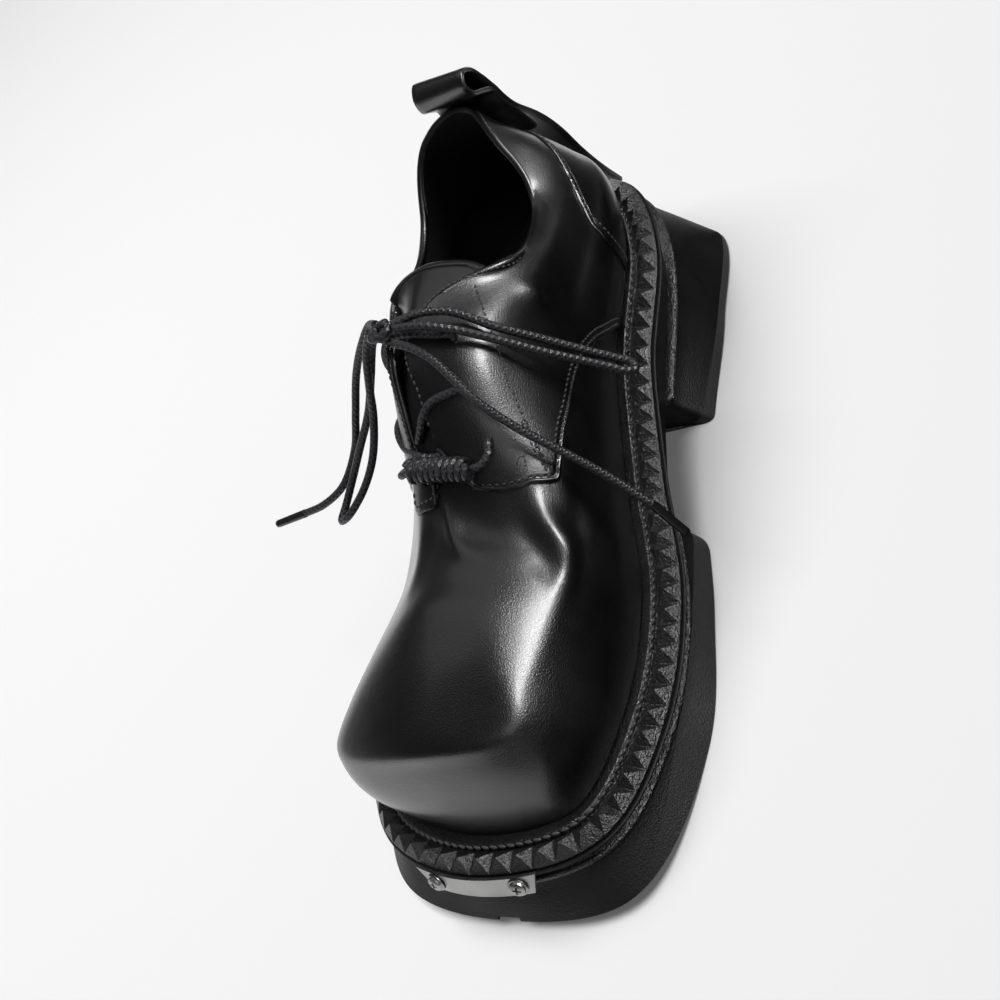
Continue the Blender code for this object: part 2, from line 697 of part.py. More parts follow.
def make_pull_loop():
    path = smooth_route(STRAP_ROUTE, 44)
    ahead = np.gradient(path, axis=0)
    ahead /= np.linalg.norm(ahead, axis=1)[:, None]
    side = np.column_stack([-ahead[:, 1], ahead[:, 0]]) * STRAP_WALL / 2
    top = max(path[:, 1])
    bm = bmesh.new()
    loops = []
    for middle, offset in zip(path, side):
        lift = np.clip((middle[1] - STRAP_LEAN_FROM) / (top - STRAP_LEAN_FROM), 0.0, 1.0)
        lean = STRAP_SKEW / 2 * lift
        corners = []
        for across_share, wall_share in ((-1, -1), (1, -1), (1, 1), (-1, 1)):
            place = middle + offset * wall_share
            corners.append((STRAP_ACROSS + across_share * STRAP_WIDTH / 2,
                            place[0] + across_share * lean, place[1] + across_share * lift))
        loops.append(corners)
    rows = add_loops(bm, loops)
    bm.faces.new(rows[0])
    bm.faces.new(rows[-1])
    return add_object("pull_loop", bm, leather(), 0.9)


def toe_point(across, reach, lift):
    """A point of the toe's front at this distance across."""
    stations = np.linspace(-1.4, 1.4, 300)
    points, _ = plan_points(stations, reach)
    along = np.interp(across, points[:, 0], points[:, 1])
    middle = plan_line(stations)[0]
    base = np.interp(across, middle[:, 0], band_height(middle[:, 1]))
    return np.array([across, along, base + lift])


def plate_point(share, drop, proud):
    """A point of the plate: share runs from its outer to its inner end, drop from top to bottom."""
    (_, outer_top, outer_low), (_, inner_top, inner_low) = PLATE_ENDS
    outer = outer_top + (outer_low - outer_top) * drop
    inner = inner_top + (inner_low - inner_top) * drop
    reach, lift = np.array(PLATE_TOP) + (np.array(PLATE_BOTTOM) - np.array(PLATE_TOP)) * drop
    slope = np.array(PLATE_BOTTOM) - np.array(PLATE_TOP)
    outward = np.array([-slope[1], slope[0]]) / np.linalg.norm(slope) * proud
    return toe_point(outer + (inner - outer) * share, reach + outward[0], lift + outward[1])


def make_toe_plate():
    bm = bmesh.new()
    loops = []
    for share in np.linspace(0.0, 1.0, 15):
        loops.append([plate_point(share, drop, proud)
                      for drop, proud in ((0, 0), (1, 0), (1, PLATE_WALL), (0, PLATE_WALL))])
    rows = add_loops(bm, loops)
    bm.faces.new(rows[0])
    bm.faces.new(rows[-1])
    return add_object("toe_plate", bm, steel(), 0.5)


def plate_share(across):
    (_, outer_top, outer_low), (_, inner_top, inner_low) = PLATE_ENDS
    outer = (outer_top + outer_low) / 2
    inner = (inner_top + inner_low) / 2
    return (across - outer) / (inner - outer)


def make_screw(name, across):
    """A pan head screw on its washer, standing square to the plate."""
    share = plate_share(across)
    seat = plate_point(share, 0.5, PLATE_WALL + 0.45)
    axis = plate_point(share, 0.5, PLATE_WALL + 1.45) - seat
    side = plate_point(share + 0.05, 0.5, PLATE_WALL) - plate_point(share - 0.05, 0.5, PLATE_WALL)
    side /= np.linalg.norm(side)
    axis -= side * (side @ axis)
    axis /= np.linalg.norm(axis)
    other = np.cross(axis, side)
    profile = (
        # radius, height
        (WASHER_RADIUS, 0.0), (WASHER_RADIUS, 0.4), (SCREW_RADIUS, 0.45), (SCREW_RADIUS, 1.0),
        (SCREW_RADIUS * 0.8, 1.5),
    )
    turns = np.linspace(0.0, 2 * np.pi, 25)[:-1]
    bm = bmesh.new()
    loops = [[seat + axis * height + radius * (side * np.cos(t) + other * np.sin(t)) for t in turns]
             for radius, height in profile]
    rows = add_loops(bm, loops)
    bm.faces.new(rows[0])
    bm.faces.new(rows[-1])
    return add_object(name, bm, steel(), 0.6)


def tube(bm, route, radius, count, sides=8):
    """A round tube with flat ends along a smooth route."""
    path = smooth_route(route, count)
    ahead = np.gradient(path, axis=0)
    ahead /= np.linalg.norm(ahead, axis=1)[:, None]
    side = np.cross(ahead[0], (0.1, 0.2, 1.0))
    loops = []
    for point, direction in zip(path, ahead):
        side = side - direction * (side @ direction)
        side /= np.linalg.norm(side)
        other = np.cross(direction, side)
        turns = np.linspace(0.0, 2 * np.pi, sides + 1)[:-1]
        loops.append([point + radius * (side * np.cos(t) + other * np.sin(t)) for t in turns])
    rows = add_loops(bm, loops)
    bm.faces.new(rows[0])
    bm.faces.new(rows[-1])


def tube_object(name, route, radius, count, finish, sides=8):
    bm = bmesh.new()
    tube(bm, route, radius, count, sides)
    return add_object(name, bm, finish, 1.2)


def join_solids(first, others):
    """Join solids that run into each other; the added ones stay as hidden cutters."""
    for number, other in enumerate(others):
        other.hide_render = True
        other.display_type = "WIRE"
        union = first.modifiers.new("join %d" % number, "BOOLEAN")
        union.operation = "UNION"
        union.object = other
    return first


def make_lace_coil():
    start, end = np.array(COIL_ENDS)
    coil = tube_object("lace_coil", (start, (start + end) / 2, end), COIL_RADIUS, 3, cord(), 20)
    leads = [tube_object("coil lead %d" % number, route, LACE_RADIUS, 9, cord())
             for number, route in enumerate(COIL_LEADS)]
    return join_solids(coil, leads)


def make_lace_cross():
    first, second = [tube_object(name, route, LACE_RADIUS, 11, cord())
                     for name, route in zip(("lace_cross", "cross strand"), CROSSINGS)]
    return join_solids(first, [second])


def make_knot():
    bm = bmesh.new()
    bmesh.ops.create_icosphere(bm, subdivisions=2, radius=1.0)
    turn = Matrix.Rotation(0.4, 4, "Z")
    size = Matrix.Diagonal((*[value * MM for value in KNOT_SIZE], 1.0))
    place = Matrix.Translation(to_world(np.array(KNOT)))
    bmesh.ops.transform(bm, matrix=place @ turn @ size, verts=bm.verts)
    return add_object("lace_knot", bm, cord(), 1.2)


def make_loose_lace(name, route):
    """A free lace: a round cord along its route."""
    length = run_length(np.array(route))[-1]
    path = to_world(smooth_route(route, max(12, int(length / (LACE_RADIUS * 5)))))
    curve = bpy.data.curves.new(name, "CURVE")
    curve.dimensions = "3D"
    curve.bevel_depth = LACE_RADIUS * MM
    curve.bevel_resolution = 2
    curve.use_fill_caps = True
    spline = curve.splines.new("POLY")
    spline.points.add(len(path) - 1)
    for point, place in zip(spline.points, path):
        point.co = (*place, 1.0)
    curve.materials.append(cord())
    made = bpy.data.objects.new(name, curve)
    bpy.context.collection.objects.link(made)
    return made


def clear_scene():
    for item in list(bpy.data.objects):
        bpy.data.objects.remove(item, do_unlink=True)


def main():
    clear_scene()
    cut_grooves(block_solid("outsole", True, rubber()))
    cut_grooves(block_solid("heel", False, rubber()))
    make_midsole()
    make_welt()
    make_insole()
    make_upper()
    make_tongue()
    make_heel_counter()
    make_pull_loop()
    make_toe_plate()
    for name, across in zip(("screw_lateral", "screw_medial"), SCREW_ACROSS):
        make_screw(name, across)
    make_lace_coil()
    make_lace_cross()
    tube_object("lace_top", TOP_BAR, LACE_RADIUS, 13, cord())
    make_knot()
    for name, route in LOOSE_LACES:
        make_loose_lace(name, route)
    for name, start, end in AGLETS:
        middle = np.mean([start, end], axis=0)
        tube_object(name, (start, middle, end), AGLET_RADIUS, 3, aglet(), 12)


main()
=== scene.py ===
import bpy
import bmesh
import numpy as np
from mathutils.bvhtree import BVHTree
from mathutils import Matrix, Vector


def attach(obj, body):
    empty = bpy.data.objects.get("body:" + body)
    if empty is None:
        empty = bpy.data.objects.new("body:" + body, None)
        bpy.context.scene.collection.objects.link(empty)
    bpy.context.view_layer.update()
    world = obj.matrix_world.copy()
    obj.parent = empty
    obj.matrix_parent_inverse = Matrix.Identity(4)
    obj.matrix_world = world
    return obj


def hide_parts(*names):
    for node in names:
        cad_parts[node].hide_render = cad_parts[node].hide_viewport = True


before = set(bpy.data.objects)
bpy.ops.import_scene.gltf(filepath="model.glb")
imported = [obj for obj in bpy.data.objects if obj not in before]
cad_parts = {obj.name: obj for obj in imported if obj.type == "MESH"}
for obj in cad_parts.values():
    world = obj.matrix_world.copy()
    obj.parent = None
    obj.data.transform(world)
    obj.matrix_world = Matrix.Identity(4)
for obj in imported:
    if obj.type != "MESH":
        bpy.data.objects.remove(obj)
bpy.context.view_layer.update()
print("frame loaded")

# the shoe is laid out in millimetres as (across, along, up): across is positive toward the big toe,
# along runs from heel to toe, and toWorld turns that into the frame's metres
centre = {"across": -0.16, "along": 148.32}


def toWorld(points):
    points = np.asarray(points, float)
    return np.stack([points[..., 0] - centre["across"], centre["along"] - points[..., 1],
                     points[..., 2]], axis=-1) * 0.001


def toShoe(point):
    return np.array([point[0] * 1000 + centre["across"], centre["along"] - point[1] * 1000, point[2] * 1000])


def slopesOf(knots, values):
    # the curve's slope at each knot, from its two neighbours
    spans = np.diff(knots)[:, None]
    rates = np.diff(values, axis=0) / spans
    inner = (rates[:-1] * spans[1:] + rates[1:] * spans[:-1]) / (spans[1:] + spans[:-1])
    return np.vstack([rates[:1], inner, rates[-1:]])


def bend(t, span, low, lowSlope, high, highSlope):
    # a smooth curve from low to high that starts and ends with the given slopes
    return ((2 * t**3 - 3 * t**2 + 1) * low + (t**3 - 2 * t**2 + t) * span * lowSlope
            + (3 * t**2 - 2 * t**3) * high + (t**3 - t**2) * span * highSlope)


def readTable(rows, where, period=None):
    # a smooth curve through a table's rows, by its first column; with a period it closes into a ring
    rows = np.array(rows, float)
    knots, values = rows[:, 0], rows[:, 1:]
    where = np.atleast_1d(np.array(where, float))
    if period:
        knots = np.concatenate([knots[-3:] - period, knots, knots[:3] + period])
        values = np.vstack([values[-3:], values, values[:3]])
        where = np.mod(where, period)
    else:
        where = np.clip(where, knots[0], knots[-1])
    tangents = slopesOf(knots, values)
    low = np.clip(np.searchsorted(knots, where, side="right") - 1, 0, len(knots) - 2)
    span = (knots[low + 1] - knots[low])[:, None]
    t = (where - knots[low])[:, None] / span
    return bend(t, span, values[low], tangents[low], values[low + 1], tangents[low + 1])


def readRows(knots, values, where):
    # the same reading, with a table of its own for every point
    spans = np.diff(knots, axis=1)[:, :, None]
    rates = np.diff(values, axis=1) / spans
    inner = (rates[:, :-1] * spans[:, 1:] + rates[:, 1:] * spans[:, :-1]) / (spans[:, 1:] + spans[:, :-1])
    tangents = np.concatenate([rates[:, :1], inner, rates[:, -1:]], axis=1)
    low = np.clip((knots <= where[:, None]).sum(axis=1) - 1, 0, knots.shape[1] - 2)
    at = np.arange(len(where))
    span = spans[at, low]
    t = (where - knots[at, low])[:, None] / span
    return bend(t, span, values[at, low], tangents[at, low], values[at, low + 1], tangents[at, low + 1])


def smoothStep(value, low, high):
    t = np.clip((value - low) / (high - low), 0.0, 1.0)
    return t * t * (3 - 2 * t)


def runLength(points):
    return np.concatenate([[0.0], np.cumsum(np.linalg.norm(np.diff(points, axis=0), axis=1))])


def readLine(line, run, places):
    # places at the given distances along a line
    return np.column_stack([np.interp(places, run, column) for column in line.T])


def smoothRoute(route, count):
    # evenly spaced places on a smooth curve through a route
    route = np.array(route, float)
    knots = runLength(route)
    fine = readTable(np.column_stack([knots, route]), np.linspace(0.0, knots[-1], 1200))
    run = runLength(fine)
    return readLine(fine, run, np.linspace(0.0, run[-1], count))


def stepOf(share, count):
    return np.round(share * count).astype(int)


def aimed(place, aim):
    turn = (Vector(aim) - Vector(place)).to_track_quat("-Z", "Y").to_matrix().to_4x4()
    return Matrix.Translation(place) @ turn


def addObject(name, bm):
    mesh = bpy.data.meshes.new(name)
    bm.to_mesh(mesh)
    bm.free()
    made = bpy.data.objects.new(name, mesh)
    bpy.context.scene.collection.objects.link(made)
    return made


cameraValues = {
    "place": (0.27855, -0.29025, 0.37349),
    "aim": (-0.00086, -0.01730, 0.05),
    "roll": -45.42,
    "lens": 49.6,
    "sensor": 36.0,
}


def makeCamera():
    data = bpy.data.cameras.new("camera")
    data.lens = cameraValues["lens"]
    data.sensor_width = cameraValues["sensor"]
    data.clip_start = 0.01
    camera = bpy.data.objects.new("camera", data)
    bpy.context.scene.collection.objects.link(camera)
    roll = Matrix.Rotation(np.radians(cameraValues["roll"]), 4, "Z")
    camera.matrix_world = aimed(cameraValues["place"], cameraValues["aim"]) @ roll
    bpy.context.scene.camera = camera


makeCamera()
print("camera set")

lightValues = {
    "worldColour": (0.98, 0.97, 1.0, 1.0), "worldStrength": 0.05,
    "lamps": (
        # name, place, aim, width, depth, watts, whether it shows in gloss only
        ("floor light", (-0.45, 0.15, 2.2), (-0.05, 0.0, 0.0), 1.8, 1.8, 56.0, False),
        ("ridge box", (0.86, 0.30, 0.78), (0.03, -0.10, 0.06), 0.5, 0.3, 12.0, True),
        ("near sheet", (0.80, -0.55, 0.85), (0.0, 0.0, 0.08), 1.0, 0.6, 1.7, True),
        ("back sheet", (-0.28, 0.55, 1.32), (0.0, 0.0, 0.08), 1.4, 0.95, 1.8, True),
    ),
    # a black card beside the shoe, seen only in its gloss
    "card": {"from": (0.045, -0.21), "to": (0.045, 0.45), "reach": 0.16, "height": 0.078},
}


def makeLights():
    world = bpy.data.worlds.new("studio")
    world.use_nodes = True
    background = world.node_tree.nodes["Background"]
    background.inputs["Color"].default_value = lightValues["worldColour"]
    background.inputs["Strength"].default_value = lightValues["worldStrength"]
    bpy.context.scene.world = world
    for name, place, aim, width, depth, watts, inGloss in lightValues["lamps"]:
        data = bpy.data.lights.new(name, "AREA")
        data.shape = "RECTANGLE"
        data.size = width
        data.size_y = depth
        data.energy = watts
        lamp = bpy.data.objects.new(name, data)
        bpy.context.scene.collection.objects.link(lamp)
        lamp.matrix_world = aimed(place, aim)
        lamp.visible_glossy = inGloss
        lamp.visible_diffuse = not inGloss
    bpy.context.scene.view_settings.view_transform = "Standard"


makeLights()


def newMaterial(name, colour, roughness, metallic=0.0):
    made = bpy.data.materials.new(name)
    made.use_nodes = True
    shader = made.node_tree.nodes["Principled BSDF"]
    shader.inputs["Base Color"].default_value = (*colour, 1.0)
    shader.inputs["Roughness"].default_value = roughness
    shader.inputs["Metallic"].default_value = metallic
    return made, made.node_tree.nodes, made.node_tree.links, shader


def addNode(nodes, kind, **values):
    node = nodes.new(kind)
    for key, value in values.items():
        if key in node.inputs:
            node.inputs[key].default_value = value
        else:
            setattr(node, key, value)
    return node


def addBump(nodes, links, shader, heights):
    # heights: (socket, strength, distance in metres), added one on the other
    last = None
    for socket, strength, distance in heights:
        bump = addNode(nodes, "ShaderNodeBump", Strength=strength, Distance=distance)
        links.new(socket, bump.inputs["Height"])
        if last:
            links.new(last.outputs["Normal"], bump.inputs["Normal"])
        last = bump
    links.new(last.outputs["Normal"], shader.inputs["Normal"])


def addRange(nodes, links, source, span, newSpan, target):
    # the source's values from one span to another
    change = addNode(nodes, "ShaderNodeMapRange")
    for name, value in zip(("From Min", "From Max", "To Min", "To Max"), (*span, *newSpan)):
        change.inputs[name].default_value = value
    links.new(source, change.inputs["Value"])
    links.new(change.outputs["Result"], target)


def addTones(nodes, links, source, colour, tones, shader):
    # from a darker to a lighter tone of one colour
    mix = addNode(nodes, "ShaderNodeMix", data_type="RGBA")
    for socket, tone in zip((6, 7), tones):
        mix.inputs[socket].default_value = (*[part * tone for part in colour], 1.0)
    links.new(source, mix.inputs[0])
    links.new(mix.outputs[2], shader.inputs["Base Color"])


# for leather and rubber: the finest noise and the polished patches, how much shinier and duller the patches
# are, and the darker and lighter tone
finishValues = {"finer": 2.2, "patches": 38.0, "polish": (-0.05, 0.06), "tones": (0.8, 1.25)}


def makeLeather(name, values):
    made, nodes, links, shader = newMaterial(name, values["colour"], values["roughness"])
    shader.inputs["Specular IOR Level"].default_value = values["specular"]
    shader.inputs["Coat Weight"].default_value = values["coat"]
    shader.inputs["Coat Roughness"].default_value = values["coatRoughness"]
    coords = nodes.new("ShaderNodeTexCoord")
    grain = addNode(nodes, "ShaderNodeTexVoronoi", Scale=values["grain"])
    fine = addNode(nodes, "ShaderNodeTexNoise", Scale=values["grain"] * finishValues["finer"], Detail=3.0)
    pebble = addNode(nodes, "ShaderNodeTexNoise", Scale=values["grain"], Detail=2.0)
    broad = addNode(nodes, "ShaderNodeTexNoise", Scale=values["wrinkle"], Detail=4.0)
    patch = addNode(nodes, "ShaderNodeTexNoise", Scale=finishValues["patches"], Detail=2.0)
    for node in (grain, fine, pebble, broad, patch):
        links.new(coords.outputs["Object"], node.inputs["Vector"])
    spread = [values["roughness"] + change for change in finishValues["polish"]]
    addRange(nodes, links, patch.outputs["Fac"], (0.35, 0.65), spread, shader.inputs["Roughness"])
    addTones(nodes, links, broad.outputs["Fac"], values["colour"], finishValues["tones"], shader)
    addBump(nodes, links, shader, (
        (broad.outputs["Fac"], 0.12, 0.0006),
        (pebble.outputs["Fac"], values["grainStrength"], values["pebbleDepth"]),
        (grain.outputs["Distance"], values["grainStrength"], 0.00018),
        (fine.outputs["Fac"], values["grainStrength"], 0.00008)))
    return made


leatherValues = {
    "colour": (0.0038, 0.0037, 0.0042), "roughness": 0.33, "specular": 0.8,
    "coat": 0.7, "coatRoughness": 0.23,
    "grain": 1950.0, "grainStrength": 0.42, "pebbleDepth": 0.00017, "wrinkle": 130.0,
}
liningValues = {
    "colour": (0.008, 0.008, 0.009), "roughness": 0.7, "specular": 0.3, "coat": 0.0, "coatRoughness": 0.3,
    "grain": 2200.0, "grainStrength": 0.9, "pebbleDepth": 0.0003, "wrinkle": 240.0,
}
soleRubberValues = {
    "colour": (0.0105, 0.0103, 0.0112), "roughness": 0.52, "specular": 0.3,
    "coat": 0.0, "coatRoughness": 0.3,
    "grain": 1500.0, "grainStrength": 0.8, "pebbleDepth": 0.00018, "wrinkle": 500.0,
}
rawRubberValues = {
    "colour": (0.01, 0.01, 0.0108), "roughness": 0.36, "specular": 1.0, "coat": 0.0, "coatRoughness": 0.3,
    "grain": 1300.0, "grainStrength": 1.0, "pebbleDepth": 0.0005, "wrinkle": 700.0,
}
leather = makeLeather("black leather", leatherValues)
lining = makeLeather("black lining", liningValues)
soleRubber = makeLeather("sole rubber", soleRubberValues)
rawRubber = makeLeather("textured rubber", rawRubberValues)


cordValues = {
    # tones: painted shade between the braid's strands and painted sheen on their crowns
    "colour": (0.026, 0.026, 0.029), "roughness": 0.36, "tones": (0.4, 1.6),
    "strands": 4.0, "crossings": 1.3, "fuzz": 1800.0,
}


def makeBraid(values):
    # two sets of strands run round the cord on its own map, u round it and v in cord widths; the colour is
    # painted darker between the strands and lighter on their crowns, as painted shade and painted sheen
    made, nodes, links, shader = newMaterial("waxed cord", values["colour"], values["roughness"])
    shader.inputs["Specular IOR Level"].default_value = 0.5
    coords = addNode(nodes, "ShaderNodeUVMap", uv_map="lay")
    split = nodes.new("ShaderNodeSeparateXYZ")
    links.new(coords.outputs["UV"], split.inputs["Vector"])
    heights = []
    for sign in (1.0, -1.0):
        turn = addNode(nodes, "ShaderNodeMath", operation="MULTIPLY")
        turn.inputs[1].default_value = sign * values["strands"]
        links.new(split.outputs["X"], turn.inputs[0])
        run = addNode(nodes, "ShaderNodeMath", operation="MULTIPLY_ADD")
        run.inputs[1].default_value = values["crossings"]
        links.new(split.outputs["Y"], run.inputs[0])
        links.new(turn.outputs[0], run.inputs[2])
        wave = addNode(nodes, "ShaderNodeMath", operation="PINGPONG")
        wave.inputs[1].default_value = 0.5
        links.new(run.outputs[0], wave.inputs[0])
        heights.append(wave)
    top = addNode(nodes, "ShaderNodeMath", operation="MAXIMUM")
    links.new(heights[0].outputs[0], top.inputs[0])
    links.new(heights[1].outputs[0], top.inputs[1])
    objectCoords = nodes.new("ShaderNodeTexCoord")
    fuzz = addNode(nodes, "ShaderNodeTexNoise", Scale=values["fuzz"], Detail=3.0)
    links.new(objectCoords.outputs["Object"], fuzz.inputs["Vector"])
    # painted shade in the gaps between strands and painted sheen on their crowns, taken from the braid's
    # height
    braidShadeAndSheen = addNode(nodes, "ShaderNodeMath", operation="MULTIPLY")
    braidShadeAndSheen.inputs[1].default_value = 2.0
    links.new(top.outputs[0], braidShadeAndSheen.inputs[0])
    addTones(nodes, links, braidShadeAndSheen.outputs[0], values["colour"], values["tones"], shader)
    addBump(nodes, links, shader, ((top.outputs[0], 0.9, 0.0005), (fuzz.outputs["Fac"], 0.5, 0.0001)))
    return made


waxedCord = makeBraid(cordValues)


threadValues = {"colour": (0.07, 0.07, 0.075), "roughness": 0.42, "grain": 3000.0, "strength": 0.5}
coatingValues = {"colour": (0.015, 0.015, 0.016), "roughness": 0.18, "grain": 900.0, "strength": 0.15}


def makePlain(name, values):
    made, nodes, links, shader = newMaterial(name, values["colour"], values["roughness"])
    coords = nodes.new("ShaderNodeTexCoord")
    noise = addNode(nodes, "ShaderNodeTexNoise", Scale=values["grain"], Detail=3.0)
    links.new(coords.outputs["Object"], noise.inputs["Vector"])
    addBump(nodes, links, shader, ((noise.outputs["Fac"], values["strength"], 0.0001),))
    return made


thread = makePlain("black thread", threadValues)
aglet = makePlain("aglet", coatingValues)


steelValues = {
    "colour": (0.38, 0.376, 0.37), "roughness": 0.36, "stretch": 30.0, "brush": 220.0, "wear": 140.0,
    "dullness": (0.26, 0.46),
}


def makeSteel():
    values = steelValues
    made, nodes, links, shader = newMaterial("brushed steel", values["colour"], values["roughness"], 1.0)
    coords = nodes.new("ShaderNodeTexCoord")
    stretch = addNode(nodes, "ShaderNodeMapping")
    stretch.inputs["Scale"].default_value = (1.0, 1.0, values["stretch"])
    brush = addNode(nodes, "ShaderNodeTexNoise", Scale=values["brush"], Detail=4.0)
    wear = addNode(nodes, "ShaderNodeTexNoise", Scale=values["wear"], Detail=5.0)
    links.new(coords.outputs["Object"], stretch.inputs["Vector"])
    links.new(stretch.outputs["Vector"], brush.inputs["Vector"])
    links.new(coords.outputs["Object"], wear.inputs["Vector"])
    addRange(nodes, links, wear.outputs["Fac"], (0.3, 0.7), values["dullness"], shader.inputs["Roughness"])
    addBump(nodes, links, shader, ((brush.outputs["Fac"], 0.45, 0.00012),
                                   (wear.outputs["Fac"], 0.4, 0.0003)))
    return made


steel = makeSteel()


floorValues = {"halfSize": 6.0, "colour": (0.86, 0.86, 0.865), "roughness": 0.75, "glow": 0.09}


def makeFloor():
    bm = bmesh.new()
    bmesh.ops.create_grid(bm, x_segments=2, y_segments=2, size=floorValues["halfSize"])
    made = addObject("floor", bm)
    finish, _, _, shader = newMaterial("floor", floorValues["colour"], floorValues["roughness"])
    shader.inputs["Emission Color"].default_value = (1.0, 0.995, 1.0, 1.0)
    shader.inputs["Emission Strength"].default_value = floorValues["glow"]
    shader.inputs["Specular IOR Level"].default_value = 0.0
    made.data.materials.append(finish)


makeFloor()


def makeCard():
    values = lightValues["card"]
    start, end = Vector((*values["from"], 0.0)), Vector((*values["to"], 0.0))
    bm = bmesh.new()
    bmesh.ops.create_grid(bm, x_segments=1, y_segments=1, size=0.5)
    for vert in bm.verts:
        share = vert.co.y + 0.5
        slope = Vector((share * values["reach"], 0.0, 0.001 + share * values["height"]))
        vert.co = start.lerp(end, vert.co.x + 0.5) + slope
    card = addObject("card", bm)
    finish, _, _, shader = newMaterial("card", (0.004, 0.004, 0.004), 1.0)
    shader.inputs["Specular IOR Level"].default_value = 0.0
    card.data.materials.append(finish)
    card.visible_camera = False
    card.visible_diffuse = False
    card.visible_shadow = False


makeCard()
print("light, floor and materials set")


def cutAway(made, bm, overlapping=False):
    # the mesh of a piece after its modifiers and a cut in the shape of bm
    cutter = addObject("cutter", bm)
    cut = made.modifiers.new("cut", "BOOLEAN")
    cut.operation = "DIFFERENCE"
    cut.use_self = overlapping
    cut.object = cutter
    settled = bpy.data.meshes.new_from_object(made.evaluated_get(bpy.context.evaluated_depsgraph_get()))
    made.modifiers.clear()
    bpy.data.objects.remove(cutter, do_unlink=True)
    return settled


def finishPiece(name, bm, finish, sharp):
    # smooth faces but for the edges that bend by more than sharp, in radians
    made = addObject(name, bm)
    made.data.shade_smooth()
    if sharp:
        made.data.set_sharp_from_angle(angle=sharp)
    for one in finish if isinstance(finish, list) else [finish]:
        made.data.materials.append(one)
    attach(made, "root")
    return made


def gridOf(place, countU, countV, closed=False, mapScale=(1.0, 1.0)):
    # a grid whose points are moved to place(u, v), with u and v from 0 to 1 and kept as the map "lay"
    bm = bmesh.new()
    bmesh.ops.create_grid(bm, x_segments=countU, y_segments=countV, size=0.5)
    coords = np.array([vert.co[:2] for vert in bm.verts]) + 0.5
    points = toWorld(place(coords[:, 0], coords[:, 1]))
    for vert, point in zip(bm.verts, points):
        vert.co = point
    lay = bm.loops.layers.uv.new("lay")
    scaled = coords * mapScale
    bm.verts.index_update()
    for face in bm.faces:
        for loop in face.loops:
            loop[lay].uv = scaled[loop.vert.index]
    if closed:
        closeUp(bm)
    return bm


def joinMeshes(parts):
    whole = bmesh.new()
    for bm in parts:
        mesh = bpy.data.meshes.new("part")
        bm.to_mesh(mesh)
        bm.free()
        whole.from_mesh(mesh)
        bpy.data.meshes.remove(mesh)
    return whole


def closeUp(bm):
    # merges the seams and turns every face outward
    bmesh.ops.remove_doubles(bm, verts=bm.verts, dist=1e-6)
    bmesh.ops.recalc_face_normals(bm, faces=bm.faces)


def capEnds(bm):
    # closes the open ends of a tube
    bmesh.ops.contextual_create(bm, geom=[edge for edge in bm.edges if edge.is_boundary])
    bmesh.ops.recalc_face_normals(bm, faces=bm.faces)


def alongEdges(left, right, bottom, top, count):
    # u and v up the left edge, over the top and down the right edge of a patch
    t = np.linspace(0.0, 1.0, count)
    u = np.concatenate([0 * t + left, left + (right - left) * t[1:], 0 * t[1:] + right])
    v = np.concatenate([bottom + (top - bottom) * t, 0 * t[1:] + top, top + (bottom - top) * t[1:]])
    return u, v


def faceOutward(bm, middle):
    # an open sheet's faces are turned so that most of them look away from middle
    middle = Vector(toWorld(middle))
    lean = sum((face.calc_center_median() - middle).dot(face.normal) for face in bm.faces)
    if lean < 0:
        bmesh.ops.reverse_faces(bm, faces=bm.faces)


def addWall(made, thickness, inner=0):
    wall = made.modifiers.new("wall", "SOLIDIFY")
    wall.thickness = thickness * 0.001
    wall.offset = -1.0
    wall.use_quality_normals = True
    wall.material_offset = inner


def sweep(route, radius, count, sides=16, smooth=True, grow=None):
    # a round tube along a route, closed at both ends, and the path it follows
    path = smoothRoute(route, count) if smooth else np.array(route, float)
    count = len(path)
    ahead = np.gradient(path, axis=0)
    ahead /= np.linalg.norm(ahead, axis=1)[:, None]
    side = np.cross(ahead[0], (0.1, 0.2, 1.0))
    sideOf = []
    for direction in ahead:
        side = side - direction * (side @ direction)
        side = side / np.linalg.norm(side)
        sideOf.append(side)
    sideOf = np.array(sideOf)
    other = np.cross(ahead, sideOf)
    run = runLength(path)
    width = np.full(count, float(radius)) if grow is None else grow(run / run[-1])

    def place(u, v):
        row = stepOf(v, count - 1)
        turn = u * 2 * np.pi
        reach = width[row][:, None]
        return path[row] + reach * (sideOf[row] * np.cos(turn)[:, None] + other[row] * np.sin(turn)[:, None])

    bm = gridOf(place, sides, count - 1, closed=True, mapScale=(1.0, run[-1] / (2 * radius)))
    capEnds(bm)
    return bm, path


laceValues = {"radius": 1.5, "sides": 18, "step": 1.1, "tightRadius": 1.45, "tightSides": 16}

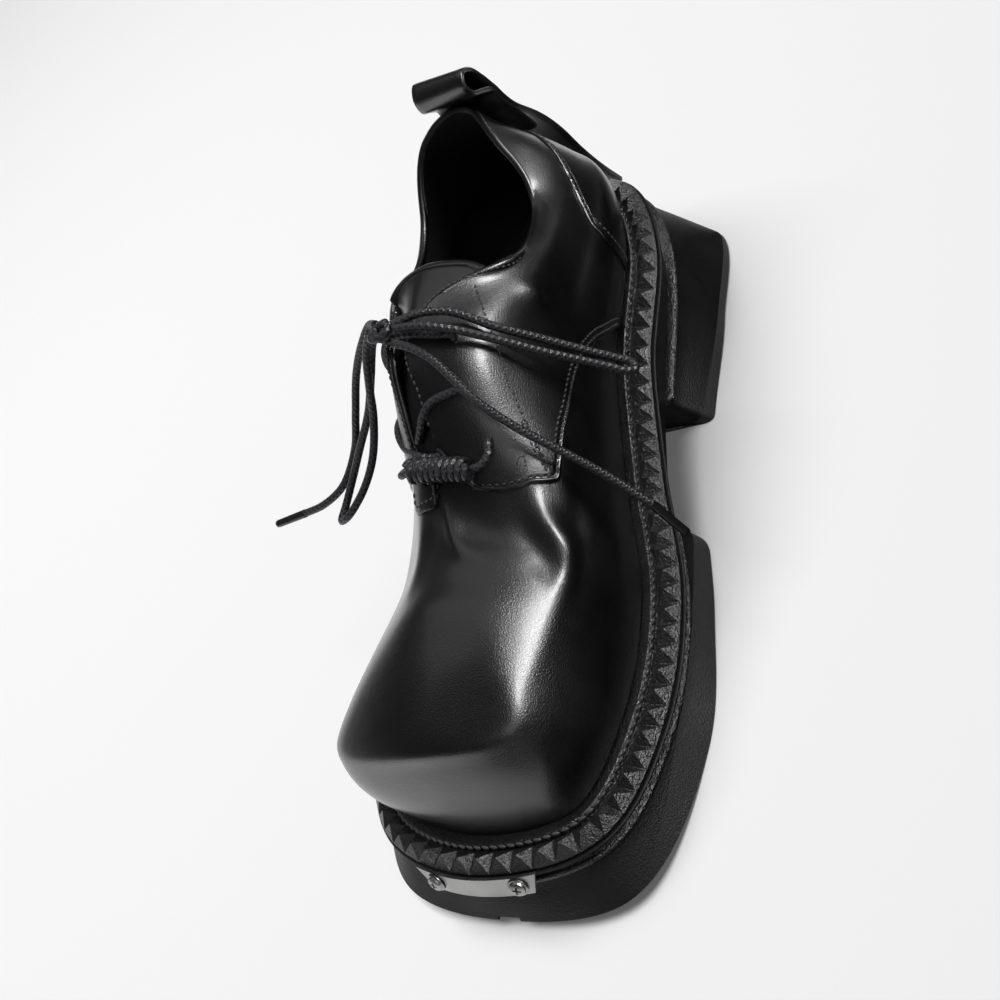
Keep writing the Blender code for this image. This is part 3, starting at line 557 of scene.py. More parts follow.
looseLaces = {
    # name: route from the knot outward
    "lace_loop_medial": (
        (2.2, 145.5, 128.0), (9.0, 141.6, 126.2), (17.0, 138.5, 121.2), (31.0, 140.0, 108.8),
        (42.0, 137.9, 94.8), (53.0, 136.6, 82.0), (59.0, 135.9, 75.2), (62.6, 136.0, 71.4),
        (63.6, 137.9, 70.4), (61.8, 139.8, 72.2), (57.5, 140.4, 76.8), (52.0, 141.0, 82.6),
        (41.0, 143.0, 95.4), (30.0, 144.6, 108.8), (20.0, 145.6, 119.0), (10.0, 146.0, 125.0),
        (2.6, 147.0, 127.6)),
    "lace_end_medial": (
        (0.6, 149.8, 123.8), (7.5, 152.5, 122.0), (14.5, 156.5, 118.5), (20.0, 161.5, 113.4),
        (26.0, 167.4, 107.0), (35.0, 171.8, 92.8), (44.0, 174.2, 80.2), (54.0, 176.8, 65.7),
        (64.8, 181.2, 49.7)),
    "lace_loop_lateral": (
        (-9.6, 144.0, 126.6), (-15.0, 145.1, 121.0), (-22.0, 150.4, 108.6), (-28.0, 154.8, 96.8),
        (-36.0, 164.4, 84.2), (-46.0, 172.5, 76.0), (-55.0, 176.8, 71.5), (-58.5, 176.0, 70.0),
        (-57.0, 170.5, 71.5), (-51.5, 164.0, 77.0), (-42.0, 157.5, 86.5), (-31.0, 151.0, 97.5),
        (-22.5, 145.3, 109.0), (-15.0, 141.6, 119.0), (-9.8, 142.0, 124.0)),
    "lace_end_lateral": (
        (-7.5, 141.2, 126.8), (-13.0, 137.6, 124.5), (-23.0, 138.0, 116.8), (-33.0, 140.0, 106.6),
        (-42.0, 146.5, 93.4), (-50.0, 153.0, 81.6), (-60.0, 162.5, 73.4), (-71.0, 166.2, 70.2),
        (-81.6, 166.7, 68.5)),
}
aglets = {
    # name: start, end
    "aglet_medial": ((64.8, 181.2, 49.7), (72.0, 185.8, 35.2)),
    "aglet_lateral": ((-81.6, 166.7, 68.5), (-98.0, 167.7, 67.0)),
}
agletValues = {
    "radius": 1.66, "taper": 0.12, "nose": 0.9, "noseFrom": 0.93, "mapRadius": 1.6, "steps": 26, "sides": 20,
}


def makeLace(name):
    route = looseLaces[name]
    length = runLength(smoothRoute(route, 400))[-1]
    bm, path = sweep(route, laceValues["radius"], int(length / laceValues["step"]), laceValues["sides"])
    made = finishPiece(name + "_braid", bm, waxedCord, sharp=1.3)
    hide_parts(name)
    return made, path, length


def makeAglet(name):
    start, end = np.array(aglets[name])
    values = agletValues

    def grow(share):
        nose = np.clip((share - values["noseFrom"]) / (1 - values["noseFrom"]), 0, 1)
        return values["radius"] - values["taper"] * share - values["nose"] * nose**2

    bm, _ = sweep([start, (start + end) / 2, end], values["mapRadius"], values["steps"], values["sides"],
                  grow=grow)
    made = finishPiece(name + "_tip", bm, aglet, sharp=0.8)
    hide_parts(name)
    return made


knotValues = {
    "middle": (-4.0, 146.0, 126.0),
    # each wrap: radius along, radius across, tilt, lift, angle from, angle to
    "wraps": ((3.6, 4.6, 0.5, 0.4, -0.4, 5.4), (3.2, 3.6, -0.9, -0.8, 0.6, 5.9)),
    # how flat the wraps lie, and how far up they climb in a radian
    "slant": 0.4, "squash": 0.75, "stand": 0.35, "climb": 0.3, "steps": 40, "sides": 14,
}


def makeKnot():
    # two flat wraps of lace round the crossing
    values = knotValues
    parts = []
    for along, across, tilt, lift, first, last in values["wraps"]:
        angle = np.linspace(first, last, 9)
        wrap = np.column_stack([
            across * np.cos(angle) * np.cos(tilt) - along * values["slant"] * np.sin(angle) * np.sin(tilt),
            along * values["squash"] * np.sin(angle),
            lift + across * values["stand"] * np.cos(angle) * np.sin(tilt) + values["climb"] * angle])
        route = wrap + values["middle"]
        parts.append(sweep(route, laceValues["radius"], values["steps"], values["sides"])[0])
    made = finishPiece("lace_knot_wraps", joinMeshes(parts), waxedCord, sharp=1.3)
    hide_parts("lace_knot")
    return made


knot = makeKnot()
tips = {name: makeAglet(name) for name in aglets}
for laceName, farEnd, withPieces in (
        ("lace_loop_medial", "knot", [knot]), ("lace_end_medial", "fitting", [tips["aglet_medial"]]),
        ("lace_loop_lateral", "knot", []), ("lace_end_lateral", "fitting", [tips["aglet_lateral"]])):
    lace, lacePath, laceLength = makeLace(laceName)
    metres = toWorld(lacePath)
print("laces made")


planLine = (
    # middle of the welt band (across, along), edge of the tread on the floor (across, along)
    (1.8, 294.9, 2.0, 307.0),        # 0 toe
    (43.5, 286.0, 52.0, 299.5),
    (56.6, 248.0, 69.3, 248.0),
    (56.6, 198.0, 65.8, 198.0),      # 3 inner ball
    (45.7, 149.0, 57.5, 149.0),
    (39.6, 101.0, 55.5, 101.0),      # 5 inner waist
    (42.4, 54.0, 54.5, 54.0),
    (29.5, 21.0, 47.0, 2.0),
    (0.5, 12.0, 0.5, -7.0),          # 8 heel back
    (-28.5, 21.5, -45.0, 4.5),
    (-41.8, 54.0, -54.0, 54.0),
    (-43.4, 99.0, -54.5, 99.0),      # 11 outer waist
    (-51.5, 148.5, -60.5, 149.0),
    (-59.3, 197.5, -68.5, 198.0),    # 13 outer ball
    (-57.5, 244.0, -68.0, 246.0),
    (-37.5, 279.5, -45.0, 292.5),
)
stationCount = len(planLine)
soleTable = (
    # along, band height, midsole depth, bead drop, bead reach, toe spring
    (8.0, 58.5, 12.2, 14.5, 7.0, 0.0),
    (50.0, 50.0, 12.2, 14.5, 7.0, 0.0),
    (100.0, 36.5, 17.0, 14.0, 6.5, 0.0),
    (125.0, 30.0, 13.5, 12.0, 6.0, 0.0),
    (150.0, 25.5, 9.8, 10.0, 5.2, 0.0),
    (175.0, 22.0, 7.6, 9.6, 5.0, 0.0),
    (200.0, 20.0, 7.6, 9.6, 5.0, 0.0),
    (225.0, 19.5, 7.6, 9.6, 5.0, 0.0),
    (250.0, 21.0, 7.6, 9.6, 5.0, 0.0),
    (275.0, 24.5, 7.6, 9.8, 5.2, 1.5),
    (300.0, 29.5, 7.6, 10.2, 5.6, 4.5),
)
ribTable = (
    # swell, ridge (across, along, up), crown (across, along, up)
    (1.2, 0.0, 274.0, 68.0, -1.0, 229.0, 77.5),          # 0 toe
    (4.5, 30.5, 266.5, 64.0, 19.0, 232.0, 74.8),
    (4.0, 36.4, 249.0, 64.0, 24.0, 217.0, 74.3),
    (3.0, 41.5, 206.0, 63.5, 28.5, 191.0, 73.6),
    (3.0, 37.5, 150.0, 80.0, 25.0, 149.0, 107.0),
    (3.5, 35.0, 103.0, 80.0, 34.5, 107.0, 97.0),
    (4.0, 35.0, 55.0, 78.0, 29.5, 57.0, 91.0),
    (4.0, 26.5, 27.0, 82.0, 22.0, 36.5, 103.0),
    (2.5, 0.5, 18.5, 82.0, 0.5, 26.0, 106.0),            # 8 heel back
    (4.0, -26.5, 27.5, 82.0, -24.0, 31.5, 104.0),
    (4.0, -36.5, 54.0, 76.0, -34.0, 53.0, 91.0),
    (3.5, -37.0, 101.0, 70.0, -31.5, 101.0, 89.0),
    (2.5, -40.0, 148.0, 52.0, -26.0, 149.0, 78.0),
    (3.5, -47.0, 198.0, 38.0, -29.0, 190.0, 57.5),
    (4.5, -45.0, 244.0, 51.5, -26.0, 222.0, 64.5),
    (8.0, -38.5, 264.5, 60.5, -19.0, 230.0, 71.0),
)
openingTable = (
    # plan station, across, along, up
    (0.0, -1.0, 183.0, 86.5),
    (1.5, 2.5, 181.5, 87.2),
    (2.4, 4.5, 175.0, 92.5),
    (3.0, 4.5, 168.0, 101.5),
    (3.5, 4.0, 160.0, 109.5),
    (3.9, 2.0, 150.0, 118.0),
    (4.1, 3.5, 142.0, 120.0),
    (4.3, 7.0, 133.5, 120.3),
    (4.5, 12.0, 125.0, 118.4),
    (4.7, 19.0, 118.7, 115.6),
    (4.88, 26.0, 113.6, 112.3),
    (5.02, 30.5, 108.7, 108.5),
    (5.25, 27.8, 94.0, 101.0),
    (5.5, 25.2, 80.0, 96.5),
    (5.75, 23.5, 68.6, 95.7),
    (6.05, 22.0, 59.7, 100.2),
    (6.4, 19.5, 53.5, 106.5),
    (6.8, 15.8, 49.0, 114.5),
    (7.15, 12.0, 43.0, 119.5),
    (7.5, 8.0, 36.5, 123.3),
    (8.0, 0.5, 31.5, 124.6),
    (8.6, -9.0, 32.0, 124.4),
    (9.1, -16.5, 34.5, 121.6),
    (9.5, -22.5, 38.4, 117.4),
    (9.8, -27.0, 43.8, 110.7),
    (10.05, -29.5, 50.9, 103.4),
    (10.25, -30.0, 60.0, 97.5),
    (10.5, -29.0, 73.0, 96.0),
    (10.75, -27.5, 86.0, 98.1),
    (11.0, -25.5, 98.0, 103.0),
    (11.25, -24.0, 106.0, 106.5),
    (11.5, -18.5, 117.0, 111.0),
    (11.75, -12.0, 128.0, 115.6),
    (12.0, -7.5, 141.0, 118.0),
    (12.15, -6.5, 148.0, 117.2),
    (12.6, -6.0, 162.0, 105.8),
    (13.2, -6.0, 173.7, 93.0),
    (14.3, -4.5, 181.0, 87.5),
)
upperValues = {
    "footInset": 8.5, "footLift": 1.8, "wall": 2.0, "easeGrid": (400, 100), "grid": (470, 100),
    # share of the way from foot to ridge, share of the rib's swell
    "sides": ((0.28, 0.8), (0.55, 1.0), (0.82, 0.7)),
    # share of the way from ridge to crown, how far it bulges there as a share of that way
    "bulges": ((0.6, 0.03), (0.25, 0.035)),
    # station counted from the toe, how far up the upper its ridge runs
    "ridgeRise": ((-8.0, 0.4), (-4.0, 0.43), (-3.0, 0.385), (-2.0, 0.45), (-1.0, 0.47), (0.0, 0.465),
                  (1.0, 0.455), (2.0, 0.48), (3.0, 0.52), (4.0, 0.55), (8.0, 0.5)),
}


def numbered(rows):
    # a table with each row's number put first
    return [(number, *row) for number, row in enumerate(rows)]


def planAt(stations, column=0):
    # a place on the plan line and the way outward from it
    stations = np.array(stations, float)
    rows = numbered([row[column:column + 2] for row in planLine])
    here = readTable(rows, stations, stationCount)
    onward = readTable(rows, stations + 0.02, stationCount) - readTable(rows, stations - 0.02, stationCount)
    onward /= np.linalg.norm(onward, axis=1)[:, None]
    return here, np.column_stack([-onward[:, 1], onward[:, 0]])


def planPoints(stations, reach=0.0):
    # places beside the plan line, reach out from it, and the way outward
    here, outward = planAt(stations)
    return here + outward * np.reshape(reach, (-1, 1)), outward


def bandHeight(along):
    return readTable(soleTable, along)[:, 0]


def ribMarks(stations):
    # the places that a rib of the upper runs through, from the welt to the opening
    foot, outward = planPoints(stations, -upperValues["footInset"])
    foot = np.column_stack([foot, bandHeight(foot[:, 1]) + upperValues["footLift"]])
    out = np.column_stack([outward, 0 * outward[:, 0]])
    columns = readTable(numbered(ribTable), stations, stationCount)
    swell, ridge, crown = columns[:, :1], columns[:, 1:4], columns[:, 4:7]
    edge = readTable(openingTable, stations, stationCount)
    rise = ridge - foot
    sides = [foot + rise * share + out * swell * swelling for share, swelling in upperValues["sides"]]
    return np.stack([foot, *sides, ridge, crown, edge], axis=1)


def firstUpper(stations, rise):
    # the upper's outer face before it is eased: rise runs from 0 at the welt to 1 at the opening
    marks = ribMarks(stations)
    steps = np.sqrt(np.linalg.norm(np.diff(marks, axis=1), axis=2))
    knots = np.concatenate([np.zeros((len(stations), 1)), np.cumsum(steps, axis=1)], axis=1)
    crownKnot = knots[:, 5]
    over = marks[:, 5] - marks[:, 4]
    lift = np.array([0.0, 0.0, 1.0]) * np.linalg.norm(over, axis=1)[:, None]
    for share, bulge in upperValues["bulges"]:
        marks = np.insert(marks, 5, marks[:, 4] + over * share + lift * bulge, axis=1)
        knots = np.insert(knots, 5, knots[:, 4] + (crownKnot - knots[:, 4]) * share, axis=1)
    return readRows(knots, marks, rise * knots[:, -1])


def plateShares(apart):
    return np.where(apart > 0, apart**2 * np.log(np.maximum(apart, 1e-9)), 0.0)


def fitPlate(places, heights, slack):
    # a thin bent plate through the given heights, with some slack at each
    apart = np.linalg.norm(places[:, None] - places[None], axis=2)
    flat = np.column_stack([np.ones(len(places)), places])
    whole = np.block([[plateShares(apart) + np.diag(slack), flat], [flat.T, np.zeros((3, 3))]])
    return np.linalg.solve(whole, np.concatenate([heights, np.zeros(3)]))


easeValues = {
    # the plate rests on ribs from and to these stations, counted from the toe, and on a shoulder between
    # each rib's ridge and crown; slack at ridge, crown, edge and shoulder
    "ribs": (-4.0, 4.6, 0.25), "shoulderAt": 0.35, "shoulder": 0.035, "slack": (1.0, 30.0, 1.0, 6.0),
    # how far above the ridge the plate takes over, and the stations over which it fades out
    "takeOver": 0.12, "fade": (3.3, 4.3),
    # the easing holds at both edges and along the ridge, which stays crisper toward the inner side
    "turns": 80, "heldFoot": 0.1, "heldEdge": 0.06, "ridgeWidth": 0.09, "ridgeShift": 0.6,
    "ridgeFade": (3.0, 4.2), "crisp": 0.45, "crispMore": 0.47, "crispFrom": (1.5, 2.3),
    # what the points beside and the points above and below count for
    "beside": 0.7, "above": 0.3,
}


def easeUpper():
    # over the vamp the leather lies as a bent plate, and elsewhere small kinks between ribs are eased
    values = easeValues
    across, up = upperValues["easeGrid"]
    stations, rises = np.meshgrid(np.arange(across) / across * stationCount, np.arange(up + 1) / up,
                                  indexing="ij")
    points = firstUpper(stations.ravel(), rises.ravel()).reshape(across, up + 1, 3)
    signed = (stations + stationCount / 2) % stationCount - stationCount / 2
    ribs = np.arange(*values["ribs"])
    marks = ribMarks(ribs % stationCount)[:, 4:]
    over = marks[:, 1] - marks[:, 0]
    shoulder = marks[:, 0] + over * values["shoulderAt"]
    shoulder[:, 2] += np.linalg.norm(over, axis=1) * values["shoulder"]
    marks = np.concatenate([marks, shoulder[:, None]], axis=1)
    slack = np.tile(values["slack"], (len(ribs), 1))
    places = marks.reshape(-1, 3)
    shares = fitPlate(places[:, :2], places[:, 2], slack.ravel())
    top = points.reshape(-1, 3)
    heights = []
    for chunk in np.array_split(top, 40):
        apart = np.linalg.norm(chunk[:, None, :2] - places[None, :, :2], axis=2)
        heights.append(plateShares(apart) @ shares[:-3] + shares[-3] + chunk[:, :2] @ shares[-2:])
    height = np.concatenate(heights).reshape(points.shape[:2])
    ridgeRise = np.array([readTable(upperValues["ridgeRise"], row)[:, 0] for row in signed])
    onTop = smoothStep(rises - ridgeRise, 0.0, values["takeOver"])
    onTop *= 1 - smoothStep(np.abs(signed), *values["fade"])
    points[:, :, 2] += onTop * (height - points[:, :, 2])
    hold = np.clip(rises / values["heldFoot"], 0, 1) * np.clip((1 - rises) / values["heldEdge"], 0, 1)
    ridge = np.exp(-((rises - ridgeRise) / values["ridgeWidth"])**2)
    ridge *= 1 - smoothStep(np.abs(signed + values["ridgeShift"]), *values["ridgeFade"])
    crisp = values["crisp"] + values["crispMore"] * smoothStep(signed, *values["crispFrom"])
    weight = hold * (1 - crisp * ridge)
    for _ in range(values["turns"]):
        beside = (np.roll(points, 1, axis=0) + np.roll(points, -1, axis=0)) / 2
        above = points.copy()
        above[:, 1:-1] = (points[:, 2:] + points[:, :-2]) / 2
        mean = beside * values["beside"] + above * values["above"]
        points += weight[:, :, None] * 0.5 * (mean - points)
    return points


easedUpper = easeUpper()


def cubicShares(t):
    # what each of four neighbours counts for on a smooth curve through them
    return np.stack([-0.5 * t + t**2 - 0.5 * t**3, 1 - 2.5 * t**2 + 1.5 * t**3,
                     0.5 * t + 2 * t**2 - 1.5 * t**3, -0.5 * t**2 + 0.5 * t**3])


def upperPoint(stations, rise):
    # a point of the eased face, read smoothly from its grid
    stations = np.atleast_1d(np.array(stations, float))
    rise = np.clip(np.broadcast_to(np.array(rise, float), stations.shape), 0.0, 1.0)
    across, up = upperValues["easeGrid"]
    x = np.mod(stations, stationCount) / stationCount * across
    y = np.minimum(rise * up, up - 1e-9)
    column, row = np.floor(x).astype(int), np.floor(y).astype(int)
    columnShare, rowShare = cubicShares(x - column), cubicShares(y - row)
    total = np.zeros((len(stations), 3))
    for i in range(4):
        rib = easedUpper[(column + i - 1) % across]
        for j in range(4):
            rowAt = row + j - 1
            value = rib[np.arange(len(row)), np.clip(rowAt, 0, up)]
            past = np.clip(rowAt - up, 0, 1)[:, None]
            before = np.clip(-rowAt, 0, 1)[:, None]
            value = value + past * (rib[:, up] - rib[:, up - 1]) + before * (rib[:, 0] - rib[:, 1])
            total += (columnShare[i] * rowShare[j])[:, None] * value
    return total


def upperNormal(stations, rise):
    onward = upperPoint(stations + 0.03, rise) - upperPoint(stations - 0.03, rise)
    above, below = np.minimum(rise + 0.012, 1.0), np.maximum(rise - 0.012, 0.0)
    normal = np.cross(upperPoint(stations, above) - upperPoint(stations, below), onward)
    return normal / np.linalg.norm(normal, axis=1)[:, None]


bandStations = np.linspace(0.0, stationCount, 2400)
bandRun = runLength(planAt(bandStations)[0])


def stationOf(share):
    # the station at a share of the way round the shoe
    return np.interp(share * bandRun[-1], bandRun, bandStations)


def nearLine(line, points):
    # distance from each point to a line, and how far along it the nearest place is
    run = runLength(line)
    dense = readLine(line, run, np.linspace(0.0, run[-1], max(8, int(run[-1] / 0.5))))
    size = (dense**2).sum(axis=1)
    nearest, share = [], []
    for chunk in np.array_split(points, max(1, len(points) // 4000)):
        apart = (chunk**2).sum(axis=1)[:, None] + size - 2 * chunk @ dense.T
        best = apart.argmin(axis=1)
        nearest.append(np.sqrt(np.maximum(apart[np.arange(len(chunk)), best], 0.0)))
        share.append(best / (len(dense) - 1))
    return np.concatenate(nearest), np.concatenate(share)


folds = (
    # height (below 0 for a trough), width, lowest height it reaches, line across and along
    (1.3, 3.0, 66.0, ((2.0, 184.0), (4.4, 194.0), (8.0, 203.0), (12.5, 208.0), (20.0, 211.0))),
    (-1.1, 6.0, 66.0, ((9.0, 183.0), (13.0, 194.0), (19.0, 201.0), (30.0, 205.0))),
    (-0.6, 6.0, 66.0, ((-4.5, 185.0), (-2.0, 198.0), (3.0, 209.0), (10.0, 216.0))),
    (2.2, 4.4, 54.0, ((31.5, 185.0), (37.0, 195.0), (42.0, 202.0), (45.6, 208.0), (46.6, 213.0),
                      (45.2, 219.0), (42.5, 226.0))),
    (-1.4, 5.0, 56.0, ((26.5, 191.0), (32.5, 201.0), (37.4, 208.0), (39.8, 213.5), (39.5, 221.0))),
    (-1.3, 4.5, 52.0, ((36.0, 177.0), (41.0, 186.0), (45.0, 194.0), (48.5, 203.0))),
    (-1.0, 3.6, 50.0, ((46.0, 194.0), (50.5, 205.0), (51.5, 216.0), (50.0, 225.0))),
    (0.7, 4.5, 60.0, ((-14.0, 182.0), (-12.0, 196.0), (-11.0, 208.0), (-14.0, 226.0))),
    (-0.6, 4.5, 60.0, ((-7.5, 182.0), (-5.0, 198.0), (-5.0, 216.0))),
    (0.5, 7.5, 62.0, ((-22.0, 228.0), (-6.0, 227.0), (8.0, 229.0), (20.0, 232.0), (34.0, 235.0))),
    (-0.6, 6.5, 62.0, ((-18.0, 213.0), (2.0, 216.0), (16.0, 218.0), (28.0, 220.0), (38.0, 222.0))),
)
dents = (
    # height, width, place
    (1.1, 4.4, (32.5, 116.1, 99.0)),
    (1.0, 4.4, (33.8, 116.0, 94.6)),
    (-0.5, 9.0, (34.0, 104.0, 90.0)),
    (-0.8, 11.0, (36.0, 100.0, 76.0)),
    (0.5, 10.0, (37.0, 118.0, 84.0)),
)


# how soon a fold rises from its two ends, and over what height it fades in from its lowest
foldValues = {"ends": 2.4, "fadeIn": 9.0}


def foldRelief(points):
    relief = np.zeros(len(points))
    for height, width, lowest, line in folds:
        route = smoothRoute(line, 60)
        reach = runLength(route)[-1] * 0.6 + width * 3.5    # beyond this a fold is too faint to count
        near = np.linalg.norm(points[:, :2] - route.mean(axis=0), axis=1) < reach
        near &= points[:, 2] > lowest
        if near.any():
            distance, share = nearLine(route, points[near, :2])
            taper = smoothStep(np.minimum(share, 1 - share) * foldValues["ends"], 0.0, 1.0)
            depth = smoothStep(points[near, 2], lowest, lowest + foldValues["fadeIn"])
            relief[near] += height * taper * depth * np.exp(-(distance / width)**2)
    for height, width, place in dents:
        relief += height * np.exp(-(np.linalg.norm(points - place, axis=1) / width)**2)
    return relief


def edgeShape(distance, values):
    # how a sheet thins toward its edge, rolls over and dips under its stitches
    shape = values["edgeFall"] * (smoothStep(distance, 0.0, values["edgeWidth"]) - 1)
    for name, sign in (("roll", 1.0), ("groove", -1.0)):
        if name in values:
            apart = (distance - values[name + "From"]) / values["softness"]
            shape += sign * values[name] * np.exp(-apart**2)
    return shape


middleOfShoe = (0.0, 150.0, 55.0)


def makeVamp():
    # the vamp and its lining, one hollow piece from the welt to the opening
    def place(u, v):
        stations = stationOf(u)
        base = upperPoint(stations, v)
        normal = upperNormal(stations, v)
        return base + normal * foldRelief(base)[:, None]

    bm = gridOf(place, *upperValues["grid"], closed=True, mapScale=(70.0, 12.0))
    faceOutward(bm, middleOfShoe)
    made = finishPiece("upper_vamp", bm, [leather, lining], sharp=0)
    addWall(made, upperValues["wall"], inner=1)
    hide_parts("upper")


makeVamp()
print("vamp and lining made")

# how far up the upper each quarter starts, by station: the facing's end, then the seam back to the welt
innerFacing = ((2.40, 1.00), (2.50, 0.93), (2.62, 0.88), (2.87, 0.82), (3.11, 0.745), (3.31, 0.655),
               (3.47, 0.55), (3.56, 0.545), (3.68, 0.535))
outerFacing = ((2.80, 1.00), (2.95, 0.93), (3.15, 0.86), (3.38, 0.78), (3.55, 0.70), (3.64, 0.62),
               (3.72, 0.55))
sideSeam = ((3.81, 0.52), (4.00, 0.485), (4.28, 0.457), (4.50, 0.43), (4.68, 0.39), (4.86, 0.325),
            (5.00, 0.245), (5.14, 0.15), (5.30, 0.0), (8.0, 0.0))


def otherSide(route):
    # the same places on the outer side, still in order round the shoe
    return tuple((stationCount - station, rise) for station, rise in route[::-1])


quarterFoot = {"inner": innerFacing + sideSeam, "outer": otherSide(outerFacing + sideSeam)}
quarterValues = {
    "proud": 1.1, "wall": 1.4, "edgeFall": 0.4, "edgeWidth": 0.9, "grid": (300, 110),
    # the folded edge's low roll and the groove that the stitches pull in behind it
    "roll": 0.3, "rollFrom": 0.9, "groove": 0.35, "grooveFrom": 2.0, "softness": 0.5,
}


def makeQuarter(side):
    values = quarterValues
    foot = np.array(quarterFoot[side])
    first, last = foot[0, 0], foot[-1, 0]
    share, marks = np.linspace(0, 1, 300), np.linspace(0, 1, len(foot))
    seam = upperPoint(np.interp(share, marks, foot[:, 0]), np.interp(share, marks, foot[:, 1]))

    def place(u, v):
        stations = first + (last - first) * u
        low = np.interp(stations, foot[:, 0], foot[:, 1])
        rise = low + (1.0 - low) * v
        base = upperPoint(stations, rise)
        proud = values["proud"] + edgeShape(nearLine(seam, base)[0], values)
        return base + upperNormal(stations, rise) * (proud + foldRelief(base))[:, None]

    bm = gridOf(place, *values["grid"])
    bmesh.ops.remove_doubles(bm, verts=bm.verts, dist=1e-5)
    faceOutward(bm, middleOfShoe)
    made = finishPiece("quarter_" + side, bm, leather, sharp=0)
    addWall(made, values["wall"])
    return made


innerQuarter = makeQuarter("inner")
outerQuarter = makeQuarter("outer")


collarValues = {
    "from": 4.45, "to": 11.62, "rise": 0.993, "radius": 1.45, "sunk": 0.25, "steps": 260, "sides": 12,
}


def makeCollarBead():
    # the rolled edge round the opening
    stations = np.linspace(collarValues["from"], collarValues["to"], collarValues["steps"])
    rises = np.full(len(stations), collarValues["rise"])
    route = upperPoint(stations, rises) - upperNormal(stations, rises) * collarValues["sunk"]
    bm, _ = sweep(route, collarValues["radius"], 0, collarValues["sides"], smooth=False)
    finishPiece("collar_bead", bm, leather, sharp=0)


makeCollarBead()
print("quarters made")

tabValues = {
    "proud": 1.6, "wall": 1.4, "edgeFall": 0.4, "edgeWidth": 0.8, "grid": (180, 24),
    # station, how far up the upper the tab starts
    "foot": ((13.15, 1.0), (13.22, 0.95), (13.4, 0.912), (13.7, 0.92), (14.2, 0.942), (14.64, 0.955),
             (15.4, 0.96), (16.0, 0.962), (16.25, 0.97), (16.38, 0.983), (16.45, 1.0)),
}


def makeTab():
    # the short tab where the lacing's outer side ends on the vamp
    foot = np.array(tabValues["foot"])
    first, last = foot[0, 0], foot[-1, 0]
    fine = np.linspace(first, last, 120)
    rim = upperPoint(fine, readTable(foot, fine)[:, 0])

    def place(u, v):
        stations = first + (last - first) * u
        low = readTable(foot, stations)[:, 0]
        rise = low + (1.0 - low) * v
        base = upperPoint(stations, rise)
        proud = tabValues["proud"] + edgeShape(nearLine(rim, base)[0], tabValues)
        return base + upperNormal(stations, rise) * proud[:, None]

    bm = gridOf(place, *tabValues["grid"])
    faceOutward(bm, middleOfShoe)
    made = finishPiece("facing_tab", bm, leather, sharp=0)
    addWall(made, tabValues["wall"])
    return made


tab = makeTab()

counterEnds = (
    # share of its height, inner end's station, outer end's station
    (0.0, 5.78, 10.22),
    (0.4, 5.71, 10.29),
    (0.65, 5.73, 10.27),
    (0.88, 5.89, 10.11),
    (0.957, 6.10, 9.90),
    (1.0, 6.35, 9.65),
)
counterTop = (
    # share of the way round, how far up the upper
    (0.0, 0.73),
    (0.15, 0.745),
    (0.3, 0.755),
    (0.5, 0.745),
    (0.7, 0.755),
    (0.85, 0.745),
    (1.0, 0.73),
)
counterValues = {
    "proud": 1.95, "wall": 1.2, "foot": 0.03, "edgeFall": 0.4, "edgeWidth": 0.9,
    "groove": 0.3, "grooveFrom": 2.0, "softness": 0.5, "grid": (260, 90),
}


def counterPlace(u, v):
    ends = readTable(counterEnds, v)
    stations = ends[:, 0] + (ends[:, 1] - ends[:, 0]) * u
    tops = readTable(counterTop, u)[:, 0]
    rise = counterValues["foot"] + (tops - counterValues["foot"]) * v
    return upperPoint(stations, rise), upperNormal(stations, rise)


def makeCounter():
    values = counterValues
    rim = counterPlace(*alongEdges(0.0, 1.0, 0.0, 1.0, 80))[0]

    def place(u, v):
        base, normal = counterPlace(u, v)
        proud = values["proud"] + edgeShape(nearLine(rim, base)[0], values)
        return base + normal * (proud + foldRelief(base))[:, None]

    bm = gridOf(place, *values["grid"])
    faceOutward(bm, (0.0, 70.0, 70.0))
    made = finishPiece("heel_counter_overlay", bm, leather, sharp=0)
    addWall(made, values["wall"])
    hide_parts("heel_counter")
    return made


counter = makeCounter()
print("heel counter made")


tongueTable = (
    # along, up at the middle, half width (outer, inner side), fall at its edges (outer, inner)
    (109.0, 117.2, 19.5, 22.0, 5.5, 7.4),
    (116.0, 116.8, 17.0, 22.0, 8.9, 7.8),
    (125.0, 116.0, 16.5, 21.0, 12.7, 7.2),
    (135.0, 114.8, 14.5, 19.5, 13.4, 5.4),
    (145.0, 112.6, 14.0, 18.0, 15.2, 4.0),
    (155.0, 107.4, 14.0, 17.0, 14.8, 2.6),
    (165.0, 99.0, 14.0, 16.0, 12.8, 2.0),
    (174.0, 90.0, 14.0, 14.0, 9.8, 1.0),
    (183.0, 83.2, 12.0, 13.0, 5.0, 0.8),
    (192.0, 81.4, 9.0, 10.0, 2.8, 1.2),
)
tongueValues = {
    "wall": 2.4, "from": 109.0, "length": 77.0, "grid": (80, 160),
    # its top corners' rounding, how it falls toward its sides, and how far down its foot tucks in, and where
    "corner": 4.0, "cornerPower": 6, "cornerShare": 0.06, "fallPower": 1.7,
    "tuck": 2.8, "tucked": (170.0, 185.0),
    "edgeFall": 0.9, "edgeWidth": 1.3, "groove": 0.4, "grooveFrom": 2.3, "softness": 0.6,
}


